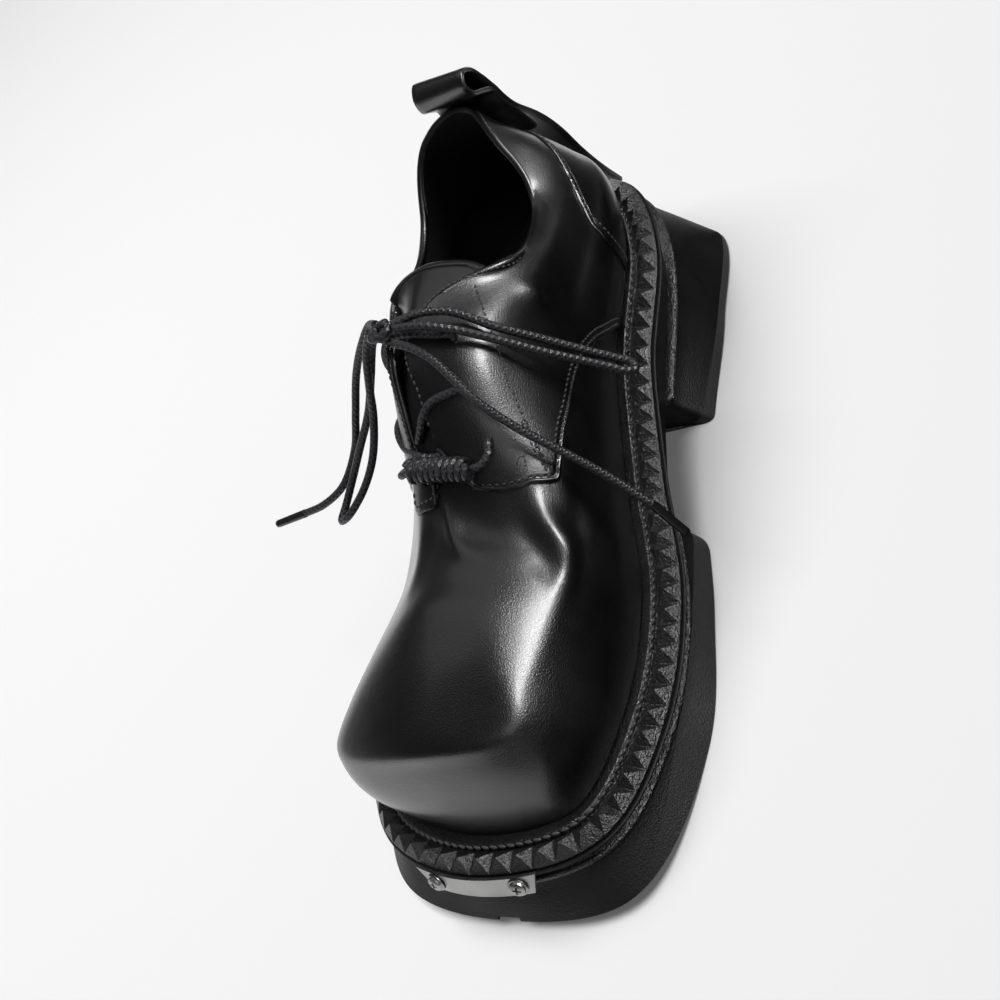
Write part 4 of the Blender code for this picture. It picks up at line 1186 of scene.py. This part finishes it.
def tonguePlace(u, v):
    values = tongueValues
    along = values["from"] + values["length"] * v
    up, outerHalf, innerHalf, outerFall, innerFall = readTable(tongueTable, along).T
    share = 2 * u - 1
    size = abs(share)
    half = np.where(share < 0, outerHalf, innerHalf)
    fall = np.where(share < 0, outerFall, innerFall)
    corner = values["corner"] * size**values["cornerPower"] * (1 - smoothStep(v, 0.0, values["cornerShare"]))
    tuck = values["tuck"] * smoothStep(along, *values["tucked"])
    return np.column_stack([share * half, along + corner, up - fall * size**values["fallPower"] - tuck])


def makeTongue():
    values = tongueValues
    rim = tonguePlace(*alongEdges(0.0, 1.0, 1.0, 0.0, 60))

    def place(u, v):
        base = tonguePlace(u, v)
        base[:, 2] += edgeShape(nearLine(rim, base)[0], values)
        return base

    bm = gridOf(place, *values["grid"])
    faceOutward(bm, (0.0, 150.0, 50.0))
    made = finishPiece("tongue_padded", bm, leather, sharp=0)
    addWall(made, values["wall"])
    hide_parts("tongue")
    return made


tongue = makeTongue()
print("tongue made")


strapRoute = (
    # along, up
    (19.8, 97.5), (21.0, 101.5), (22.9, 106.5), (25.1, 112.0), (27.1, 116.5), (28.5, 121.0), (29.3, 126.0),
    (34.5, 130.5), (39.5, 134.5),
    (39.8, 139.0), (35.5, 141.8), (30.5, 138.5), (28.0, 132.0), (26.9, 126.0), (26.0, 121.0), (24.3, 115.5),
    (22.1, 111.0), (19.4, 107.0), (14.5, 100.0), (9.5, 91.0), (6.0, 82.0), (2.5, 68.0), (-3.0, 52.0),
    (-9.8, 37.0),
)
strapSide = (
    # shares of the half width and the half thickness: one edge, with the groove where its plies meet
    (0.99, 0.75), (1.0, 0.45), (0.982, 0.1), (0.982, -0.1), (1.0, -0.45), (0.99, -0.75),
)
strapValues = {"width": 27.0, "wall": 2.0, "across": 2.5, "leanFrom": 124.0, "skew": 7.0, "rows": 200}


def makePullLoop():
    rows = strapValues["rows"]
    path = smoothRoute(strapRoute, rows)
    ahead = np.gradient(path, axis=0)
    ahead /= np.linalg.norm(ahead, axis=1)[:, None]
    side = np.column_stack([-ahead[:, 1], ahead[:, 0]])
    top = max(path[:, 1])
    lift = np.clip((path[:, 1] - strapValues["leanFrom"]) / (top - strapValues["leanFrom"]), 0.0, 1.0)
    face = [(x, 1.0) for x in np.linspace(-0.97, 0.97, 12)]
    outline = np.array(face + list(strapSide))
    outline = np.vstack([outline, -outline])

    def place(u, v):
        row, column = stepOf(v, rows - 1), stepOf(u, len(outline)) % len(outline)
        across, wall = outline[column].T
        middle = path[row] + side[row] * (wall * strapValues["wall"] / 2)[:, None]
        lean = strapValues["skew"] / 2 * lift[row]
        return np.column_stack([strapValues["across"] + across * strapValues["width"] / 2,
                                middle[:, 0] + across * lean, middle[:, 1] + across * lift[row]])

    bm = gridOf(place, len(outline), rows - 1, closed=True, mapScale=(1.0, 20.0))
    capEnds(bm)
    made = finishPiece("pull_loop_strap", bm, leather, sharp=0.9)
    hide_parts("pull_loop")


makePullLoop()
print("pull loop made")


weltSection = (
    # reach from the band line, height above it
    (-14.0, 1.2), (-10.0, 1.3), (-6.4, 1.35), (-5.6, 1.9), (-4.9, 2.0), (-4.4, 1.5), (-4.15, 0.4),
    (-4.0, -0.9), (-3.8, -1.2), (-3.5, -0.8), (-3.2, -0.75), (3.6, -2.1), (4.1, -2.3), (4.3, -2.6),
    (4.3, -3.5), (4.1, -3.9), (0.0, -3.9), (-7.0, -3.9), (-14.0, -3.9),
)


def ringPoints(stations, reach, lift):
    points, _ = planPoints(stations, reach)
    return np.column_stack([points, bandHeight(points[:, 1]) + lift])


def makeWelt():
    # one closed section run right round the shoe: the stitched lip, its groove and the band under the studs
    section = np.array(weltSection)

    def place(u, v):
        row = stepOf(v, len(section)) % len(section)
        return ringPoints(stationOf(u), section[row, 0], section[row, 1])

    bm = gridOf(place, 520, len(section), closed=True, mapScale=(60.0, 2.0))
    made = finishPiece("welt_strip", bm, rawRubber, sharp=0.6)
    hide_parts("welt")


makeWelt()

studValues = {
    "count": 89, "middle": 0.45, "halfAcross": 3.95, "halfAlong": 4.12, "height": 3.4, "sunk": 0.4,
    # the blunt point's share of the foot, and how the welt falls outward under the studs
    "point": 0.055, "fall": 0.2, "fallFrom": -3.2, "drop": 0.75,
    # they are spaced out evenly on a line this far out from the band line
    "spacedAt": 0.5,
}


def makeStuds():
    # each stud is a four-sided pyramid with a blunt point, its foot sunk a little into the welt
    values = studValues
    bm = bmesh.new()
    fine = np.linspace(0.0, stationCount, 3000)
    run = runLength(planPoints(fine, values["spacedAt"])[0])
    depth = values["height"] + values["sunk"]
    foot = 2**0.5    # a square cone whose sides are one unit from its middle
    turned = Matrix.Rotation(np.pi / 4, 4, "Z")
    for station in np.interp((np.arange(values["count"]) + 0.5) / values["count"] * run[-1], run, fine):
        here, outward = [row[0] for row in planPoints([station])]
        onward = np.array([outward[1], -outward[0]])
        stud = bmesh.ops.create_cone(bm, cap_ends=True, segments=4, radius1=foot,
                                     radius2=foot * values["point"], depth=depth, matrix=turned)["verts"]
        for vert in stud:
            across = values["middle"] + vert.co.x * values["halfAcross"]
            lift = vert.co.z + depth / 2 - values["sunk"] - values["drop"]
            lift -= (across - values["fallFrom"]) * values["fall"]
            flat = here + outward * across + onward * vert.co.y * values["halfAlong"]
            vert.co = toWorld((*flat, bandHeight([flat[1]])[0] + lift))
    bmesh.ops.recalc_face_normals(bm, faces=bm.faces)
    finishPiece("welt_studs", bm, rawRubber, sharp=0.3)


makeStuds()
print("welt and studs made")


midsoleSection = (
    # reach and drop from the band line, where the depth still counts as a share
    (5.1, -4.2, 0.0), (5.5, -4.5, 0.0), (5.6, -4.9, 0.0), (5.3, -5.4, 0.0), (4.8, -5.7, 0.0),
    (3.9, -5.9, 0.12), (3.4, -5.9, 0.3), (3.2, -5.9, 0.55), (3.0, -5.9, 0.8), (3.0, -5.9, 1.0),
)
midsoleInner = -14.0


def makeMidsole():
    # both ends of the section run inward under the welt, so that no edge shows
    section = np.array(midsoleSection)
    last = len(section) + 1

    def place(u, v):
        row = stepOf(v, last)
        inner = (row == 0) | (row == last)
        pick = np.clip(row - 1, 0, len(section) - 1)
        reach = np.where(inner, midsoleInner, section[pick, 0])
        plan, _ = planPoints(stationOf(u), reach)
        columns = readTable(soleTable, plan[:, 1])
        drop = section[pick, 1] * (1 - section[pick, 2]) - columns[:, 1] * section[pick, 2]
        return np.column_stack([plan, columns[:, 0] + drop])

    bm = gridOf(place, 420, last, closed=True, mapScale=(60.0, 2.0))
    made = finishPiece("midsole_rim", bm, soleRubber, sharp=0.5)
    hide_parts("midsole")


makeMidsole()
blockValues = {
    # station of its middle, stations from there that surely pass its straight end, where that end is, its
    # corners' radius, how far it bows
    "outsole": {"middle": 0.0, "past": 5.5, "cut": 160.0, "radius": 11.0, "bow": 2.0},
    "heel": {"middle": 8.0, "past": -5.5, "cut": 107.5, "radius": 4.0, "bow": 4.0},
    # points along a side, round a corner and in to the middle of the end
    "side": 70, "corner": 12, "end": 14,
    "neck": 3.0, "gap": 0.3, "bead": 1.3, "wallFrom": 0.7, "beadRows": 6.5, "map": (40.0, 4.0),
}
beadSection = (
    # how far out toward the bead's reach, height above its middle in bead radii
    (0.0, None), (0.3, 1.15), (0.7, 0.95), (0.92, 0.55), (1.0, 0.0), (0.92, -0.55), (0.75, -0.9),
)
wallSection = (
    # how far down the wall, share of the way from bead to tread, inset
    (0.04, 0.03, 0.0), (0.25, 0.24, 0.0), (0.5, 0.5, 0.0), (0.75, 0.75, 0.0), (0.9, 0.9, 0.0),
    (0.955, 0.955, 0.0), (0.98, 0.98, 0.25), (0.995, 0.995, 0.7), (1.0, 1.0, 1.3),
)


def blockHalf(line, last, values):
    # from the middle of a block along one side, round the corner and in along its straight end
    points = line(np.linspace(values["middle"], last, 900))
    beyond = (points[:, 1] - values["cut"]) * (points[0, 1] - values["cut"]) <= 0
    points = points[:np.argmax(beyond) + 1]
    run = runLength(points)
    kept = readLine(points, run, np.linspace(0.0, run[-1] - values["radius"], blockValues["side"]))
    corner = np.array([points[-1, 0], values["cut"]])
    leave = corner - np.array([np.sign(corner[0]) * values["radius"], 0.0])
    t = np.linspace(0.0, 1.0, blockValues["corner"] + 1)[1:, None]
    turn = (1 - t)**2 * kept[-1] + 2 * t * (1 - t) * corner + t**2 * leave
    share = np.linspace(1.0, 0.0, blockValues["end"] + 1)[1:]
    hollow = values["bow"] * np.sign(points[0, 1] - values["cut"]) * (1 - share**2)
    return np.vstack([kept, turn, np.column_stack([leave[0] * share, values["cut"] + hollow])])


def blockLoop(line, values):
    first = blockHalf(line, values["middle"] + values["past"], values)
    second = blockHalf(line, values["middle"] - values["past"], values)
    return np.vstack([first, second[-2:0:-1]])


def makeBlock(name, grooves):
    values = blockValues[name]

    def outline(beadShare, treadShare, inset=0.0):
        def line(stations):
            band, outward = planAt(stations)
            tread, treadOutward = planAt(stations, 2)
            neck, edge = blockValues["neck"], readTable(soleTable, band[:, 1])[:, 3]
            reach = neck + (edge - neck) * beadShare
            bead = band + outward * reach[:, None]
            return bead + (tread - treadOutward * inset - bead) * treadShare
        return blockLoop(line, values)

    loops = []
    for beadShare, rise in beadSection:
        plan = outline(beadShare, 0.0)
        columns = readTable(soleTable, plan[:, 1])
        under = columns[:, 0] - columns[:, 1] - blockValues["gap"]
        bead = np.minimum(columns[:, 0] - columns[:, 2], under - blockValues["bead"])
        loops.append(np.column_stack([plan, under if rise is None else bead + rise * blockValues["bead"]]))
    low = loops[-1][:, 2]
    for down, treadShare, inset in wallSection:
        plan = outline(blockValues["wallFrom"], treadShare, inset)
        floor = np.maximum(readTable(soleTable, plan[:, 1])[:, 4], 0.0)
        loops.append(np.column_stack([plan, low + (floor - low) * down]))
    stacked = np.array(loops)
    rows, count = stacked.shape[:2]

    def place(u, v):
        return stacked[stepOf(v, rows - 1), stepOf(u, count) % count]

    bm = gridOf(place, count, rows - 1, closed=True, mapScale=blockValues["map"])
    lay = bm.loops.layers.uv["lay"]
    lastBead = blockValues["beadRows"] / (rows - 1) * blockValues["map"][1]
    for face in bm.faces:
        # the bead's rows, which are the first ones, have the rougher finish
        if max(loop[lay].uv.y for loop in face.loops) < lastBead:
            face.material_index = 1
    bm = joinMeshes([bm, capAcross(stacked[0]), capAcross(stacked[-1])])
    closeUp(bm)
    made = finishPiece(name + "_block", bm, [soleRubber, rawRubber], sharp=0.5)
    cutGrooves(made, grooves)
    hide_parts(name)


def capAcross(ring):
    # strips straight across from one side of a ring to the other, which close a block's top or tread
    count = len(ring)

    def place(u, v):
        step = stepOf(u, count // 2)
        return ring[np.where(v < 0.5, step, (count - step) % count)]

    return gridOf(place, count // 2, 1)


def cutGrooves(made, grooves):
    bm = bmesh.new()
    for acrossFrom, acrossTo, alongFrom, alongTo, upTo in grooves:
        low, high = toWorld([(acrossFrom, alongTo, -3.0), (acrossTo, alongFrom, upTo)])
        size = Matrix.Diagonal((*(high - low), 1.0))
        bmesh.ops.create_cube(bm, size=1.0, matrix=Matrix.Translation((low + high) / 2) @ size)
    made.modifiers.new("facets", "TRIANGULATE")
    made.data = cutAway(made, bm)


makeBlock("outsole", (
    (-50.0, 46.0, 172.5, 179.5, 2.6), (-53.0, 50.0, 192.5, 199.5, 2.6), (-54.0, 52.0, 212.5, 219.5, 2.6),
    (-54.0, 53.0, 232.5, 239.5, 2.6), (-50.0, 50.0, 252.5, 259.5, 2.8), (0.2, 9.2, 284.0, 320.0, 6.4)))
makeBlock("heel", (
    (-36.0, 37.0, 14.5, 21.5, 2.6), (-40.0, 41.0, 34.5, 41.5, 2.6), (-41.0, 42.0, 54.5, 61.5, 2.6),
    (-41.0, 42.0, 74.5, 81.5, 2.6)))
print("sole made")


insoleSection = (
    # reach from the band line, height above it
    (-11.9, 1.8), (-11.7, 2.2), (-11.7, 4.3), (-12.1, 4.8),
)
insoleSteps = 200


def makeInsole():
    section = np.array(insoleSection)
    last = len(section) - 1

    def place(u, v):
        row = stepOf(v, last)
        return ringPoints(stationOf(u), section[row, 0], section[row, 1])

    stations = stationOf(np.arange(insoleSteps) / insoleSteps)
    caps = [capAcross(ringPoints(stations, *section[row])) for row in (0, last)]
    bm = joinMeshes([gridOf(place, insoleSteps, last, closed=True), *caps])
    closeUp(bm)
    made = finishPiece("insole_sock", bm, lining, sharp=0.8)
    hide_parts("insole")


makeInsole()

plateValues = {
    # the strip's two ends at its top and bottom edge, and each edge's reach and drop from the band line
    "outer": (-23.4, -18.1), "inner": (26.9, 23.4), "top": (5.3, -1.9), "bottom": (8.2, -9.4), "wall": 1.0,
    "screws": {"screw_lateral": -15.0, "screw_medial": 19.0}, "between": (-1.4, 1.4),
}


def toePoint(across, reach, lift):
    # a place on the toe's rim by how far across it is
    stations = np.linspace(*plateValues["between"], 900)
    points, _ = planPoints(stations, reach)
    middle = planAt(stations)[0]
    return np.array([across, np.interp(across, points[:, 0], points[:, 1]),
                     np.interp(across, middle[:, 0], bandHeight(middle[:, 1])) + lift])


def platePoint(share, drop, proud):
    # a place on the plate by its shares of the way along and down it, and how far it stands out
    outer = plateValues["outer"][0] + (plateValues["outer"][1] - plateValues["outer"][0]) * drop
    inner = plateValues["inner"][0] + (plateValues["inner"][1] - plateValues["inner"][0]) * drop
    slope = np.array(plateValues["bottom"]) - np.array(plateValues["top"])
    reach, lift = np.array(plateValues["top"]) + slope * drop
    outward = np.array([-slope[1], slope[0]]) / np.linalg.norm(slope) * proud
    return toePoint(outer + (inner - outer) * share, reach + outward[0], lift + outward[1])


def makePlate():
    # a bent strip with softened edges
    section = ((0.0, 0.0), (0.5, 0.0), (1.0, 0.0), (1.0, 0.75), (0.97, 1.0), (0.5, 1.0), (0.03, 1.0),
               (0.0, 0.75))

    def place(u, v):
        rows = stepOf(u, len(section)) % len(section)
        return np.array([platePoint(share, section[row][0], section[row][1] * plateValues["wall"])
                         for row, share in zip(rows, v)])

    bm = gridOf(place, len(section), 40, closed=True)
    capEnds(bm)
    made = finishPiece("toe_plate_strip", bm, steel, sharp=0.6)
    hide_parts("toe_plate")


makePlate()


screwProfile = (
    # radius, height above the plate: a washer with a domed head on it
    (0.0, 0.1), (2.0, 0.1), (3.35, 0.1), (3.6, 0.25), (3.6, 0.6), (3.4, 0.85), (2.95, 0.9), (2.9, 1.0),
    (2.88, 1.25), (2.7, 1.6), (2.2, 1.9), (1.4, 2.08), (0.0, 2.15),
)
recessValues = {
    "turn": 0.35, "low": 0.4, "high": 1.15, "depth": 1.6, "size": (2.3, 0.62, 1.0), "height": 1.75,
}


def makeRecess():
    # two crossed tapering bars
    cross = bmesh.new()
    for turn in (recessValues["turn"], recessValues["turn"] + np.pi / 2):
        bar = bmesh.ops.create_cone(cross, cap_ends=True, segments=4, radius1=recessValues["low"],
                                    radius2=recessValues["high"], depth=recessValues["depth"])["verts"]
        bmesh.ops.rotate(cross, verts=bar, cent=(0, 0, 0), matrix=Matrix.Rotation(np.pi / 4, 3, "Z"))
        bmesh.ops.scale(cross, verts=bar, vec=recessValues["size"])
        bmesh.ops.rotate(cross, verts=bar, cent=(0, 0, 0), matrix=Matrix.Rotation(turn, 3, "Z"))
        bmesh.ops.translate(cross, verts=bar, vec=(0, 0, recessValues["height"]))
    return cross


def makeScrew(name, across):
    outer = sum(plateValues["outer"]) / 2
    inner = sum(plateValues["inner"]) / 2
    share = (across - outer) / (inner - outer)
    wall = plateValues["wall"]
    seat = platePoint(share, 0.5, wall)
    axis = platePoint(share, 0.5, wall + 1.0) - seat
    side = platePoint(share + 0.05, 0.5, wall) - platePoint(share - 0.05, 0.5, wall)
    side /= np.linalg.norm(side)
    axis -= side * (side @ axis)
    axis /= np.linalg.norm(axis)
    up = np.cross(axis, side)
    bm = bmesh.new()
    verts = [bm.verts.new((radius, 0.0, height)) for radius, height in screwProfile]
    edges = [bm.edges.new(pair) for pair in zip(verts, verts[1:])]
    bmesh.ops.spin(bm, geom=verts + edges, cent=(0, 0, 0), axis=(0, 0, 1), angle=2 * np.pi, steps=40,
                   use_merge=True)
    bmesh.ops.remove_doubles(bm, verts=bm.verts, dist=1e-4)
    bmesh.ops.recalc_face_normals(bm, faces=bm.faces)
    head = addObject(name + "_head", bm)
    settled = cutAway(head, makeRecess(), overlapping=True)
    bpy.data.objects.remove(head, do_unlink=True)
    places = np.array([seat + side * vert.co.x + up * vert.co.y + axis * vert.co.z
                       for vert in settled.vertices])
    whole = bmesh.new()
    whole.from_mesh(settled)
    for vert, point in zip(whole.verts, toWorld(places)):
        vert.co = point
    bmesh.ops.recalc_face_normals(whole, faces=whole.faces)
    made = finishPiece(name + "_pan", whole, steel, sharp=0.5)
    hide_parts(name)


for screwName, across in plateValues["screws"].items():
    makeScrew(screwName, across)
print("insole, plate and screws made")


coilValues = {
    "ends": ((-6.0, 182.2, 94.4), (19.4, 184.9, 91.0)), "from": 0.03, "to": 0.97, "turns": 10,
    "turnSteps": 28, "sides": 12, "radius": 3.1, "uneven": 0.05, "bow": 1.2, "cord": 1.36, "core": 2.1,
    # how far in the core's ends sit, and how far up
    "coreInset": 0.6, "coreRise": 0.3,
}
lacingRoutes = {
    # the coil's two leads, the strands that cross the slot, and the bar under the knot
    "leads": (
        ((18.0, 184.7, 91.2), (22.5, 183.5, 90.8), (25.3, 180.0, 91.5), (24.8, 175.6, 92.4),
         (23.5, 172.8, 90.0)),
        ((-4.5, 182.1, 94.2), (-9.5, 181.5, 93.0), (-13.5, 178.5, 89.5), (-15.3, 174.5, 86.5),
         (-13.4, 172.5, 85.0)),
    ),
    "crossings": (
        ((19.0, 160.6, 102.5), (20.2, 161.8, 105.7), (14.0, 163.5, 107.2), (8.0, 165.5, 107.0),
         (4.0, 167.5, 104.5), (0.0, 170.0, 99.8), (-3.0, 171.5, 96.3)),
        ((-12.0, 155.4, 96.4), (-15.5, 155.6, 94.9), (-16.5, 159.8, 94.8), (-16.0, 163.6, 93.7),
         (-14.0, 167.3, 92.5), (-8.0, 172.8, 93.5), (-3.0, 176.1, 94.4), (1.0, 176.1, 92.1),
         (4.0, 175.4, 91.0)),
    ),
    "topBar": (
        ((17.6, 144.9, 112.0), (18.2, 144.9, 115.3), (12.0, 145.0, 118.0), (6.0, 145.0, 120.7),
         (0.0, 144.5, 121.6), (-5.0, 144.5, 121.0), (-9.5, 144.5, 117.5), (-13.5, 145.0, 109.0),
         (-13.2, 145.0, 105.0)),
    ),
}


def tightLaces(name, count):
    radius, sides = laceValues["tightRadius"], laceValues["tightSides"]
    return [sweep(route, radius, count, sides)[0] for route in lacingRoutes[name]]


def makeCoil():
    # one lace wound ten times round a core that bows up a little, and its two leads
    start, end = np.array(coilValues["ends"])
    axis = (end - start) / np.linalg.norm(end - start)
    side = np.cross(axis, (0.0, 0.0, 1.0))
    side /= np.linalg.norm(side)
    up = np.cross(side, axis)
    count = coilValues["turns"] * coilValues["turnSteps"]
    angle = np.linspace(0, coilValues["turns"] * 2 * np.pi, count)
    share = np.linspace(coilValues["from"], coilValues["to"], count)
    reach = coilValues["radius"] * (1 + coilValues["uneven"] * np.sin(angle * 0.37 + 1.0))
    rise = np.cos(angle) * reach + coilValues["bow"] * np.sin(share * np.pi)
    wraps = start + np.outer(share, end - start) + np.outer(rise, up)
    wraps += np.outer(np.sin(angle) * reach, side)
    inset, raised = axis * coilValues["coreInset"], up * coilValues["coreRise"]
    core = [start + inset + raised, (start + end) / 2 + up * coilValues["bow"], end - inset + raised]
    sides = coilValues["sides"]
    parts = [sweep(wraps, coilValues["cord"], 0, sides, smooth=False)[0],
             sweep(core, coilValues["core"], 12, sides)[0]]
    whole = joinMeshes(parts + tightLaces("leads", 40))
    made = finishPiece("lace_coil_wraps", whole, waxedCord, sharp=1.3)
    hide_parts("lace_coil")


makeCoil()
for routeName, count, name, replaced in (("crossings", 60, "lace_crossings", "lace_cross"),
                                         ("topBar", 80, "lace_top_bar", "lace_top")):
    made = finishPiece(name, joinMeshes(tightLaces(routeName, count)), waxedCord, sharp=1.3)
    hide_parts(replaced)
print("lacing made")

stitchValues = {
    # pitch, length and half width of each kind of stitch, and how far it leans out of its row
    "fine": {"pitch": 2.4, "length": 2.0, "radius": 0.46, "lean": 0.0},
    "seam": {"pitch": 2.5, "length": 2.5, "radius": 0.5, "lean": 0.2},
    "foot": {"pitch": 2.3, "length": 2.2, "radius": 0.45, "lean": 0.0},
    "tack": {"pitch": 1.6, "length": 1.5, "radius": 0.36, "lean": 0.0},
    "welt": {"pitch": 3.3, "length": 4.1, "radius": 0.8, "lean": 0.3},
}
stitchLift = 0.1    # how far the quarters' stitches stand clear, in half widths
stitchBatch = 40    # stitches to one small mesh, so that adding the next one stays quick


def treeOf(made):
    bm = bmesh.new()
    bm.from_mesh(made.data)
    tree = BVHTree.FromBMesh(bm)
    bm.free()
    return tree


def flipAxes(direction):
    return np.array([direction[0], -direction[1], direction[2]])


def stitchRow(rows, line, normals, kind, lift=0.0, handed=1.0, tree=None):
    # thread ends in a row along a line, laid on the surface the tree holds
    values = stitchValues[kind]
    length, radius, lean = values["length"], values["radius"], values["lean"] * handed
    run = runLength(line)
    count = int(run[-1] / values["pitch"])
    middles = (np.arange(count) + 0.5) / count * run[-1]
    onward = readLine(line, run, middles + length / 2) - readLine(line, run, middles - length / 2)
    bm = bmesh.new()
    for number, (here, normal, ahead) in enumerate(zip(
            readLine(line, run, middles), readLine(normals, run, middles), onward)):
        if tree:
            spot, facing, _, _ = tree.find_nearest(Vector(toWorld(here)))
            here, normal = toShoe(spot), flipAxes(facing)
        normal /= np.linalg.norm(normal)
        ahead -= normal * (ahead @ normal)
        ahead /= np.linalg.norm(ahead) + 1e-12
        side = np.cross(normal, ahead)
        if lean:
            ahead, side = ahead + side * lean, side - ahead * lean
            ahead /= np.linalg.norm(ahead)
            side /= np.linalg.norm(side)
        turn = np.column_stack([flipAxes(ahead), flipAxes(side), flipAxes(normal)])
        size = Matrix.Diagonal((length / 2000, radius / 1000, radius / 1000, 1.0))
        matrix = Matrix.Translation(toWorld(here + normal * lift)) @ Matrix(turn.tolist()).to_4x4() @ size
        bmesh.ops.create_icosphere(bm, subdivisions=1, radius=1.0, matrix=matrix)
        if number % stitchBatch == stitchBatch - 1:
            rows.append(bm)
            bm = bmesh.new()
    rows.append(bm)


def surfaceLine(route, proud):
    # a line on the upper through (station, rise) places, with its normals
    route = np.array(route, float)
    run = runLength(upperPoint(route[:, 0], route[:, 1]))
    fine = np.linspace(0, run[-1], max(12, int(run[-1] / 0.8)))
    stations, rises = readTable(np.column_stack([run, route]), fine).T
    points, normals = upperPoint(stations, rises), upperNormal(stations, rises)
    return points + normals * (proud + foldRelief(points))[:, None], normals


def insetLine(line, normals, inset):
    # the same line moved sideways over the surface
    ahead = np.gradient(line, axis=0)
    ahead /= np.linalg.norm(ahead, axis=1)[:, None] + 1e-12
    return line + np.cross(ahead, normals) * inset


topEdge = ((2.9, 1.0), (3.2, 1.0), (3.6, 1.0), (3.9, 1.0), (4.15, 1.0), (4.4, 1.0), (4.7, 1.0),
           (4.95, 1.0), (5.1, 1.0))
facingLine = ((4.65, 0.96), (4.44, 0.87), (4.24, 0.80), (4.05, 0.745), (3.92, 0.725), (3.83, 0.70),
              (3.72, 0.675), (3.62, 0.65), (3.54, 0.625), (3.48, 0.60))
seamLine = ((3.81, 0.52), (4.00, 0.485), (4.28, 0.457), (4.50, 0.43), (4.68, 0.39), (4.86, 0.325),
            (5.00, 0.245), (5.14, 0.15), (5.24, 0.06))
quarterRows = {
    # each row: kind, how far in from its line, places (station, rise) as on the inner side
    "inner": (
        ("fine", (2.0,), topEdge),
        ("fine", (2.0,), ((2.66, 0.87), (2.87, 0.82), (3.11, 0.745), (3.31, 0.655), (3.44, 0.575))),
        ("seam", (1.7, 3.9), ((3.50, 0.55), (3.68, 0.535)) + seamLine),
        ("fine", (0.0,), facingLine),
        ("foot", (-0.8, 0.9), ((3.70, 0.675), (3.60, 0.65), (3.52, 0.62), (3.47, 0.595))),
        ("tack", (0.0,), ((3.27, 0.715), (3.34, 0.711), (3.40, 0.705), (3.43, 0.695), (3.45, 0.682),
                          (3.40, 0.678), (3.35, 0.675))),
    ),
    "outer": (
        ("fine", (2.0,), topEdge),
        ("fine", (2.0,), ((3.0, 0.91), (3.15, 0.86), (3.38, 0.78), (3.55, 0.70), (3.64, 0.62))),
        ("seam", (1.7, 3.9), ((3.75, 0.54),) + seamLine),
        ("fine", (0.0,), facingLine[:7]),
    ),
}
patchRows = {
    # where the rows run on the tab, the counter and the tongue, as shares of each patch
    "steps": 60,
    "tabEnds": (13.36, 16.34), "tabInset": 0.016,
    "counterEdges": (0.02, 0.98), "counterTop": 0.972, "counterSides": 0.98,
    "tongueEdges": (0.08, 0.92), "tongueTop": 0.035, "tongueLow": 0.585, "tongueFacing": (0.0, -0.1, 1.0),
}


def makeUpperStitches():
    rows = []
    for side, quarter, handed in (("inner", innerQuarter, 1.0), ("outer", outerQuarter, -1.0)):
        tree = treeOf(quarter)
        for kind, insets, route in quarterRows[side]:
            if side == "outer":
                route = [(stationCount - station, rise) for station, rise in route]
            line, normals = surfaceLine(route, quarterValues["proud"])
            for inset in insets:
                stitchRow(rows, insetLine(line, normals, inset * handed), normals, kind,
                          stitchLift * stitchValues[kind]["radius"], handed, tree)
    steps = patchRows["steps"]
    fine = np.linspace(*patchRows["tabEnds"], steps)
    rises = readTable(tabValues["foot"], fine)[:, 0] + patchRows["tabInset"]
    line, normals = surfaceLine(np.column_stack([fine, rises]), tabValues["proud"])
    stitchRow(rows, line, normals, "fine", tree=treeOf(tab))
    left, right = patchRows["counterEdges"]
    top, sides = patchRows["counterTop"], patchRows["counterSides"]
    counterTree = treeOf(counter)
    for start, end in (((left, 0.0), (left, sides)), ((left, top), (right, top)),
                       ((right, sides), (right, 0.0))):
        base, normals = counterPlace(*np.linspace(start, end, steps).T)
        stitchRow(rows, base + normals * counterValues["proud"], normals, "fine", tree=counterTree)
    left, right = patchRows["tongueEdges"]
    base = tonguePlace(*alongEdges(left, right, patchRows["tongueLow"], patchRows["tongueTop"], steps))
    stitchRow(rows, base, np.tile(patchRows["tongueFacing"], (len(base), 1)), "fine", tree=treeOf(tongue))
    finishPiece("upper_stitches", joinMeshes(rows), thread, sharp=0)


makeUpperStitches()


# reach and height from the band line, and how far the row faces outward
weltRow = {"reach": -4.2, "height": 0.95, "outward": 0.15}


def makeWeltStitches():
    # one row round the lip of the welt, leaning like a hand's stitches
    rows = []
    stations = stationOf(np.linspace(0, 1, 900))
    _, outward = planPoints(stations)
    normals = np.column_stack([outward * weltRow["outward"], np.ones(len(stations))])
    stitchRow(rows, ringPoints(stations, weltRow["reach"], weltRow["height"]), normals, "welt")
    finishPiece("welt_stitches", joinMeshes(rows), thread, sharp=0)


makeWeltStitches()
print("stitches made")
